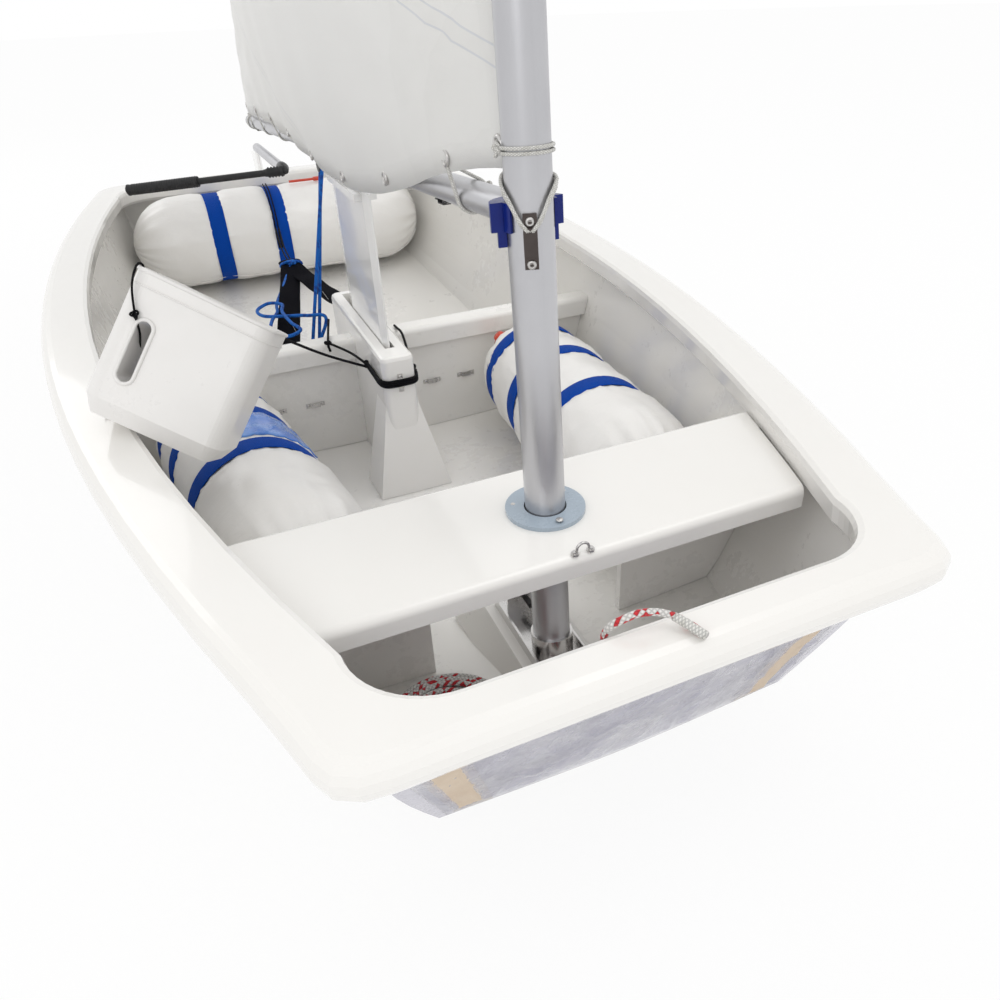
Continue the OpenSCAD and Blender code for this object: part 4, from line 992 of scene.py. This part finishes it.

# toe straps, sewn near their feet; their doubling over the frame's rail is not drawn
toe = {"width": 0.046, "thick": 0.003, "meet": Vector((-0.050, 0.535, 0.1855)),
       "feet": ((-0.150, 0.013, 0.1735), (-0.006, 0.1475, 0.1965))}
toeRuns = []
stitches = []
for n, foot in enumerate(toe["feet"]):
    foot = Vector(foot)
    route, up = [], []
    for k in range(41):
        f = k / 40
        p = foot.lerp(toe["meet"] + Vector((0, 0, 0.0018 - 0.0036 * n)), f)
        p.z -= 0.006 * hump(f) + 0.0012 * math.sin(f * 19)
        route.append(p)
        up.append(Vector((0.55 * math.sin(3.1 * f) * (1 - f) * (1 - n), 0, 1)))
    toeRuns.append((route, up, False))
    for row in (-0.018, 0.018):
        for k in range(12):
            a = route[4] + Vector((row, 0.005 * k, 0.0021))
            stitches.append([a, a + Vector((0, 0.0032, 0.0002))])
toeStraps = bands("toe_straps", toeRuns, toe["width"], toe["thick"], blackWebbing, "hull")
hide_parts("hiking_straps")
ropes("toe_stitching", stitches, 0.0005, whiteLine, "hull", sides=6)
toeLashing = [([toe["meet"] + Vector((0.0262 * math.cos(a), 0.004 + 0.004 * k, 0.0056 * math.sin(a)))
                for a in [2 * math.pi * n / 40 for n in range(40)]], True) for k in range(3)]
for x in (-0.004, 0.004):
    toeLashing.append(smoothRoute([toe["meet"] + Vector((x, 0.010, 0.004)),
                                   Vector((-0.046 + x, 0.66, 0.194)), Vector((-0.036 + x, 0.78, 0.214)),
                                   Vector((-0.032 + x, 0.829, 0.190)),
                                   Vector((-0.030 + x, 0.8295, 0.150))]))
    toeLashing.append(smoothRoute([Vector((-0.032 + x, 0.829, 0.190)), Vector((-0.030 + x, 0.8395, 0.226)),
                                   Vector((-0.029 + x, 0.866, 0.263)),
                                   Vector((-0.028 + x, 0.905, 0.290)),
                                   Vector((-0.028 + x, 0.956, 0.3005))]))
ropes("toe_lashing", toeLashing, 0.0019, elasticCord, "hull", sides=8)

# elastic cord round the board's case, with branches to the bailer, the straps and the rail
around = [Vector(p) for p in ((-0.0345, -0.160, 0.178), (-0.0345, -0.205, 0.1775), (-0.0340, -0.248, 0.177),
                              (-0.024, -0.264, 0.1765), (0.0, -0.2655, 0.176),
                              (0.024, -0.264, 0.1765), (0.0338, -0.250, 0.177), (0.0345, -0.225, 0.179))]
front = smoothRoute(around)
elastic = [[p + Vector((0, 0, d)) for p in front] for d in (0.0026, -0.0022, -0.0068)]
fork = Vector((-0.082, -0.052, 0.1885))
elastic.append(smoothRoute([front[4], Vector((-0.052, -0.110, 0.183)), fork]))
elastic.append(smoothRoute([fork, Vector((-0.068, 0.010, 0.189)), Vector((-0.053, 0.075, 0.188))]))
elastic.append([fork, fork + Vector((-0.002, -0.012, -0.004)), fork + Vector((-0.001, -0.020, -0.010))])
elastic.append(knot(fork, 0.0055, Vector((0, 0.3, 1))))
elastic.append(smoothRoute([front[6], Vector((-0.110, -0.170, 0.214)), Vector((-0.196, -0.250, 0.296))]))
elastic.append(smoothRoute([front[-1], Vector((0.0375, -0.200, 0.186)), Vector((0.052, -0.110, 0.200)),
                            Vector((0.060, -0.040, 0.1885)), Vector((0.061, -0.018, 0.186))]))
elastic.append(knot(Vector((0.0360, -0.226, 0.179)), 0.0060, Vector((1, 0, 0))))
elastic.append(knot(Vector((-0.0362, -0.165, 0.178)), 0.0060, Vector((-1, 0, 0))))
ropes("board_elastic", elastic, 0.0024, elasticCord, "hull")
print("straps made")

# bailer: rolled rim, raised lip round its handle, a lanyard
bailTurn = (Matrix.Rotation(math.radians(-32), 4, "Z") @ Matrix.Rotation(math.radians(26.7), 4, "Y")
            @ Matrix.Rotation(math.radians(-29.1), 4, "X"))
bailPlace = Matrix.Translation((-0.346, -0.519, 0.375)) @ bailTurn


def onBailer(x, y, z):
    return bailPlace @ Vector((x, y, z))


def roundedLoop(halfX, halfY, radius, make, steps=8):
    points = []
    for cx, cy, a0 in ((halfX - radius, halfY - radius, 0), (radius - halfX, halfY - radius, 90),
                       (radius - halfX, radius - halfY, 180), (halfX - radius, radius - halfY, 270)):
        for k in range(steps + 1):
            a = math.radians(a0 + 90 * k / steps)
            points.append(make(cx + radius * math.cos(a), cy + radius * math.sin(a)))
    return points


rimLoop = roundedLoop(0.0897, 0.0507, 0.0216, lambda x, y: onBailer(x, y + 0.051, 0.0938))
ribLoop = roundedLoop(0.0905, 0.0515, 0.0222, lambda x, y: onBailer(x, y + 0.051, 0.0760))
slotLoops = []
for face in (-0.0004, 0.1024):
    slotLoops.append(roundedLoop(0.0115, 0.0420, 0.0114,
                                 lambda x, z: onBailer(x - 0.049, face, z - 0.0025)))
ropes("bailer_rim", [(rimLoop, True)] + [(loop, True) for loop in slotLoops], 0.0026, jugPlastic, "hull",
      sides=10)
ropes("bailer_rib", [(ribLoop, True)], 0.0011, jugPlastic, "hull", sides=8)
lanyard = smoothRoute([onBailer(-0.0620, 0.050, -0.004), onBailer(-0.0560, 0.012, 0.020),
                       onBailer(-0.0640, -0.0036, 0.040), onBailer(-0.0800, -0.0040, 0.070),
                       onBailer(-0.0860, 0.0000, 0.0945), onBailer(-0.0850, 0.012, 0.0985),
                       onBailer(-0.0800, 0.016, 0.088)])
hang = smoothRoute([onBailer(-0.0560, 0.1000, -0.030), onBailer(-0.0700, 0.1065, -0.050),
                    onBailer(-0.0860, 0.1035, -0.082), onBailer(-0.0890, 0.0900, -0.0965)])
bailAxes = bailTurn.to_3x3()
lanyardKnots = [knot(onBailer(-0.0640, -0.005, 0.040), 0.005, bailAxes @ Vector((0, -1, 0))),
                knot(onBailer(-0.0895, 0.0880, -0.0975), 0.0062, bailAxes @ Vector((-1, 0, -1)))]
ropes("bailer_lanyard", [lanyard, hang] + lanyardKnots, 0.0014, elasticCord, "hull",
      sides=8)

# clear film stretched over the bow's flat end, with tape at its edges
bowBox = [Vector(v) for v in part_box("bow_transom")]
bowEnd = {"foot": (-1.0450, 0.070), "head": (-1.106, 0.253), "low": 0.205,
          "top": min(abs(bowBox[0].x), bowBox[1].x) - 0.004}


def onBow(w, v, off=0.0):
    y = bowEnd["foot"][0] + (bowEnd["head"][0] - bowEnd["foot"][0]) * v
    z = bowEnd["foot"][1] + (bowEnd["head"][1] - bowEnd["foot"][1]) * v
    half = bowEnd["low"] + (bowEnd["top"] - bowEnd["low"]) * v
    sag = (1 - abs(w) ** 1.6) * 0.010 * (1 - v)
    return Vector((w * half, y - off * 0.95, z - sag - off * 0.3))


def sheetMesh(name, corners, cols, rows, bumpy, material, thick=0.0006):
    w0, v0, w1, v1 = corners
    vertices, faces = [], []
    for layer in (0, 1):
        for i in range(cols + 1):
            for j in range(rows + 1):
                w, v = w0 + (w1 - w0) * i / cols, v0 + (v1 - v0) * j / rows
                spot = Vector((w * 5, v * 3, 4.0))
                ridge = 1 - abs(noise.noise(spot * 1.3)) * 2
                fold = 1 - abs(noise.noise(spot * 3.1 + Vector((w * 3, 0, 1)))) * 2
                lift = bumpy * (0.55 + 0.5 * ridge ** 3 + 0.3 * fold ** 3)
                edge = min(1, min(i, cols - i, j, rows - j) / 4)
                vertices.append(onBow(w, v, 0.0012 + lift * edge - layer * thick))
    size = (cols + 1) * (rows + 1)
    for i in range(cols):
        for j in range(rows):
            square = [i * (rows + 1) + j, (i + 1) * (rows + 1) + j, (i + 1) * (rows + 1) + j + 1,
                      i * (rows + 1) + j + 1]
            faces.append(square)
            faces.append([size + q for q in reversed(square)])
    border = ([i * (rows + 1) for i in range(cols)] + [cols * (rows + 1) + j for j in range(rows)]
              + [i * (rows + 1) + rows for i in range(cols, 0, -1)] + list(range(rows, 0, -1)))
    for k, a in enumerate(border):
        b = border[(k + 1) % len(border)]
        faces.append([a, size + a, size + b, b])
    return makePiece(name, vertices, faces, material, "hull")


# the film's grey-lavender colour is painted shade of the white bow end under it, and its near-white
# blotches are painted sheen of the crinkled wrap
film, tree, shader = newMaterial("film", Roughness=0.12, Coat_Weight=0.6, Coat_Roughness=0.04)
useGroup(tree, shader, mottle, {"Base": (0.52, 0.51, 0.60, 1), "Stain": (0.78, 0.77, 0.80, 1),
                                "Amount": 0.9, "Scale": 13.0, "Smooth": 0.06, "Rough": 0.2},
         {"Color": "Base Color"})
useGroup(tree, shader, relief, {"Scale": 30.0, "Height": 0.006, "Strength": 0.5}, {"Normal": "Normal"})
filmCoords = tree.nodes.new("ShaderNodeTexCoord")
filmNoise = addNode(tree, "ShaderNodeTexNoise", Scale=22.0, Detail=4.0)
tree.links.new(filmCoords.outputs["Object"], filmNoise.inputs["Vector"])
tree.links.new(math2(tree, "ADD", math2(tree, "MULTIPLY", filmNoise.outputs["Fac"], 0.8), 0.1),
               shader.inputs["Alpha"])
sheetMesh("bow_film", (-0.97, 0.03, 0.97, 0.95), 110, 50, 0.0032, film)
sheetMesh("bow_tape_starboard", (-0.93, 0.035, -0.73, 0.97), 16, 40, 0.0036, maskingTape)
sheetMesh("bow_tape_port", (0.68, 0.035, 0.86, 0.97), 16, 40, 0.0036, maskingTape)
print("bow made")

# heads of rivets and screws
hullHeads, mastHeads, boomHeads = [], [], []
for a in (30, 150, 270):
    r = math.radians(a)
    hullHeads.append(dome(onMast(0.0365 * math.cos(r), 0.0365 * math.sin(r), 0.0050), mastUp, 0.0042,
                          0.003))
for x in (-0.202, -0.125, 0.125, 0.202):
    for dx in (-0.0145, 0.0145):
        hullHeads.append(dome(Vector((x + dx, -0.0295, 0.055)), Vector((0, -1, 0)), 0.0032, 0.0024))
for dz in (-0.0125, 0.0125):
    hullHeads.append(dome(Vector((0, -0.2615, 0.172 + dz)), Vector((0, -1, 0)), 0.0030, 0.0024))
rudderPivot, rudderAxis = Vector((0, 1.147764, 0.053447)), Vector((0, 0.103472, 0.994632))
rudderOut = Vector((0, rudderAxis.z, -rudderAxis.y))
for h in (0.030, 0.176):
    for x in (-0.020, 0.020):
        base = rudderPivot + rudderAxis * (h + 0.007) - rudderOut * 0.0412
        hullHeads.append(dome(base + acrossShip * x, rudderOut, 0.0044, 0.003))
for up in (-0.019, 0.019):
    mastHeads.append(popRivet(byEye(0, 0.0240, up), eyeOut, 0.0046))
for aft in (0.250, 1.010, 1.900):
    for d in (-0.015, 0.015):
        boomHeads.append(dome(onMast(0, aft + d, 0.2985), -mastUp, 0.0032, 0.0024))
for a in (-100, -80, 80, 100):
    r = math.radians(a)
    outward = acrossShip * math.sin(r) + mastUp * math.cos(r)
    boomHeads.append(dome(onMast(0, 0.055, 0.316) + outward * 0.0157, outward, 0.0035, 0.0024))
for name, heads, body in (("hull_rivets", hullHeads, "hull"), ("mast_rivets", mastHeads, "mast"),
                          ("boom_rivets", boomHeads, "boom")):
    turned(name, heads, stainless, body, 16)

# tiller's joint: ribbed rubber, and grooves of the extension's grip
pivot = Vector((0, 0.685, 0.377))
gripEnd = Vector((-0.376, 0.840, 0.345))
gripAlong = (gripEnd - pivot).normalized()
bellows = [(0.0115, 0.004)]
for k in range(5):
    bellows += [(0.0135, 0.010 + 0.008 * k), (0.0100, 0.014 + 0.008 * k)]
bellows.append((0.0082, 0.056))
gripItems = [(pivot, gripAlong, bellows)]
reach = (gripEnd - pivot).length
for k in range(26):
    gripItems.append((pivot + gripAlong * (reach - 0.176 + 0.0066 * k), gripAlong,
                      [(0.0129, -0.0001), (0.0137, 0.0008), (0.0137, 0.0034), (0.0129, 0.0043)]))
gripItems.append((gripEnd - gripAlong * 0.001, gripAlong,
                  [(0.0125, 0), (0.0140, 0.002), (0.0138, 0.006), (0.009, 0.0095), (0.003, 0.0105)]))
turned("extension_grip_rings", gripItems, gripRubber, "extension")
tillerEnd = [(pivot + Vector((0, 0.040, 0.001)), Vector((0, -1, 0.03)),
              [(0.0134, -0.012), (0.0142, -0.010), (0.0142, 0.016), (0.0120, 0.024), (0.009, 0.030),
               (0.0085, 0.0345)])]
turned("tiller_end_cap", tillerEnd, blackPlastic, "rudder")
print("fittings made")

# floor at the waterline: a hole as big as the hull there, so that none of it shows inside the boat
outline = []
for name in ("hull_bottom", "hull_side_port", "hull_side_starboard", "bow_transom", "stern_transom"):
    cutter = bmesh.new()
    cutter.from_mesh(nodes[name].data)
    cut = bmesh.ops.bisect_plane(cutter, geom=cutter.verts[:] + cutter.edges[:] + cutter.faces[:],
                                 plane_co=(0, 0, 0), plane_no=(0, 0, 1))
    outline += [v.co.xy.copy() for v in cut["geom_cut"] if isinstance(v, bmesh.types.BMVert)]
    cutter.free()
hullFlat = bmesh.new()
flat = [hullFlat.verts.new((p.x, p.y, 0)) for p in outline]
shell = bmesh.ops.convex_hull(hullFlat, input=flat)
edgeVerts = [v.co.xy.copy() for v in shell["geom"] if isinstance(v, bmesh.types.BMVert)]
middle = sum(edgeVerts, Vector((0, 0))) / len(edgeVerts)
edgeVerts.sort(key=lambda p: math.atan2(p.y - middle.y, p.x - middle.x))
hullFlat.free()
vertices, faces = [], []
for p in edgeVerts:
    way = (p - middle).normalized()
    inside = p - way * 0.004
    far = middle + way * 24
    vertices += [Vector((inside.x, inside.y, 0)), Vector((far.x, far.y, 0))]
count = len(edgeVerts)
for k in range(count):
    j = (k + 1) % count
    faces.append([2 * k, 2 * k + 1, 2 * j + 1, 2 * j])
floorMaterial = bpy.data.materials.new("studioFloor")
floorMaterial.use_nodes = True
tree = floorMaterial.node_tree
tree.nodes.clear()
diffuse = addNode(tree, "ShaderNodeBsdfDiffuse", Color=(0.88, 0.88, 0.88, 1))
glow = addNode(tree, "ShaderNodeEmission", Color=(1, 1, 1, 1), Strength=1.0)
mixed = tree.nodes.new("ShaderNodeMixShader")
path = tree.nodes.new("ShaderNodeLightPath")
output = tree.nodes.new("ShaderNodeOutputMaterial")
seen = math2(tree, "MAXIMUM", path.outputs["Is Camera Ray"],
             math2(tree, "MAXIMUM", path.outputs["Is Glossy Ray"], path.outputs["Is Transmission Ray"]))
tree.links.new(math2(tree, "MULTIPLY", seen, 0.9), mixed.inputs[0])
tree.links.new(diffuse.outputs[0], mixed.inputs[1])
tree.links.new(glow.outputs[0], mixed.inputs[2])
tree.links.new(mixed.outputs[0], output.inputs["Surface"])
floorMesh = bpy.data.meshes.new("studio_floor")
floorMesh.from_pydata([tuple(v) for v in vertices], [], faces)
floorMesh.materials.append(floorMaterial)
floor = bpy.data.objects.new("studio_floor", floorMesh)
bpy.context.collection.objects.link(floor)

# light: an even sky, white where it's seen, and soft lamps
world = bpy.data.worlds.new("sky")
bpy.context.scene.world = world
world.use_nodes = True
tree = world.node_tree
background = tree.nodes["Background"]
background.inputs["Color"].default_value = (1, 1, 1, 1)
skyPath = tree.nodes.new("ShaderNodeLightPath")
seen = math2(tree, "MAXIMUM", skyPath.outputs["Is Camera Ray"], skyPath.outputs["Is Transmission Ray"])
tree.links.new(math2(tree, "ADD", math2(tree, "MULTIPLY", seen, 0.05), 0.95), background.inputs["Strength"])
lamps = {
    "lamp_high": {"at": (1.6, -1.0, 4.2), "aim": (0, 0, 0.2), "size": 2.6, "power": 24},
    "lamp_bow": {"at": (-2.2, -3.6, 2.4), "aim": (0, -0.5, 0.3), "size": 2.2, "power": 16},
    "lamp_stern": {"at": (-1.8, 3.4, 2.6), "aim": (0, 0.4, 0.4), "size": 2.4, "power": 16}}
for name, lamp in lamps.items():
    light = bpy.data.lights.new(name, "AREA")
    light.shape = "DISK"
    light.size = lamp["size"]
    light.energy = lamp["power"]
    holder = bpy.data.objects.new(name, light)
    at = Vector(lamp["at"])
    turn = (at - Vector(lamp["aim"])).to_track_quat("Z", "Y")
    holder.matrix_world = Matrix.Translation(at) @ turn.to_matrix().to_4x4()
    bpy.context.collection.objects.link(holder)
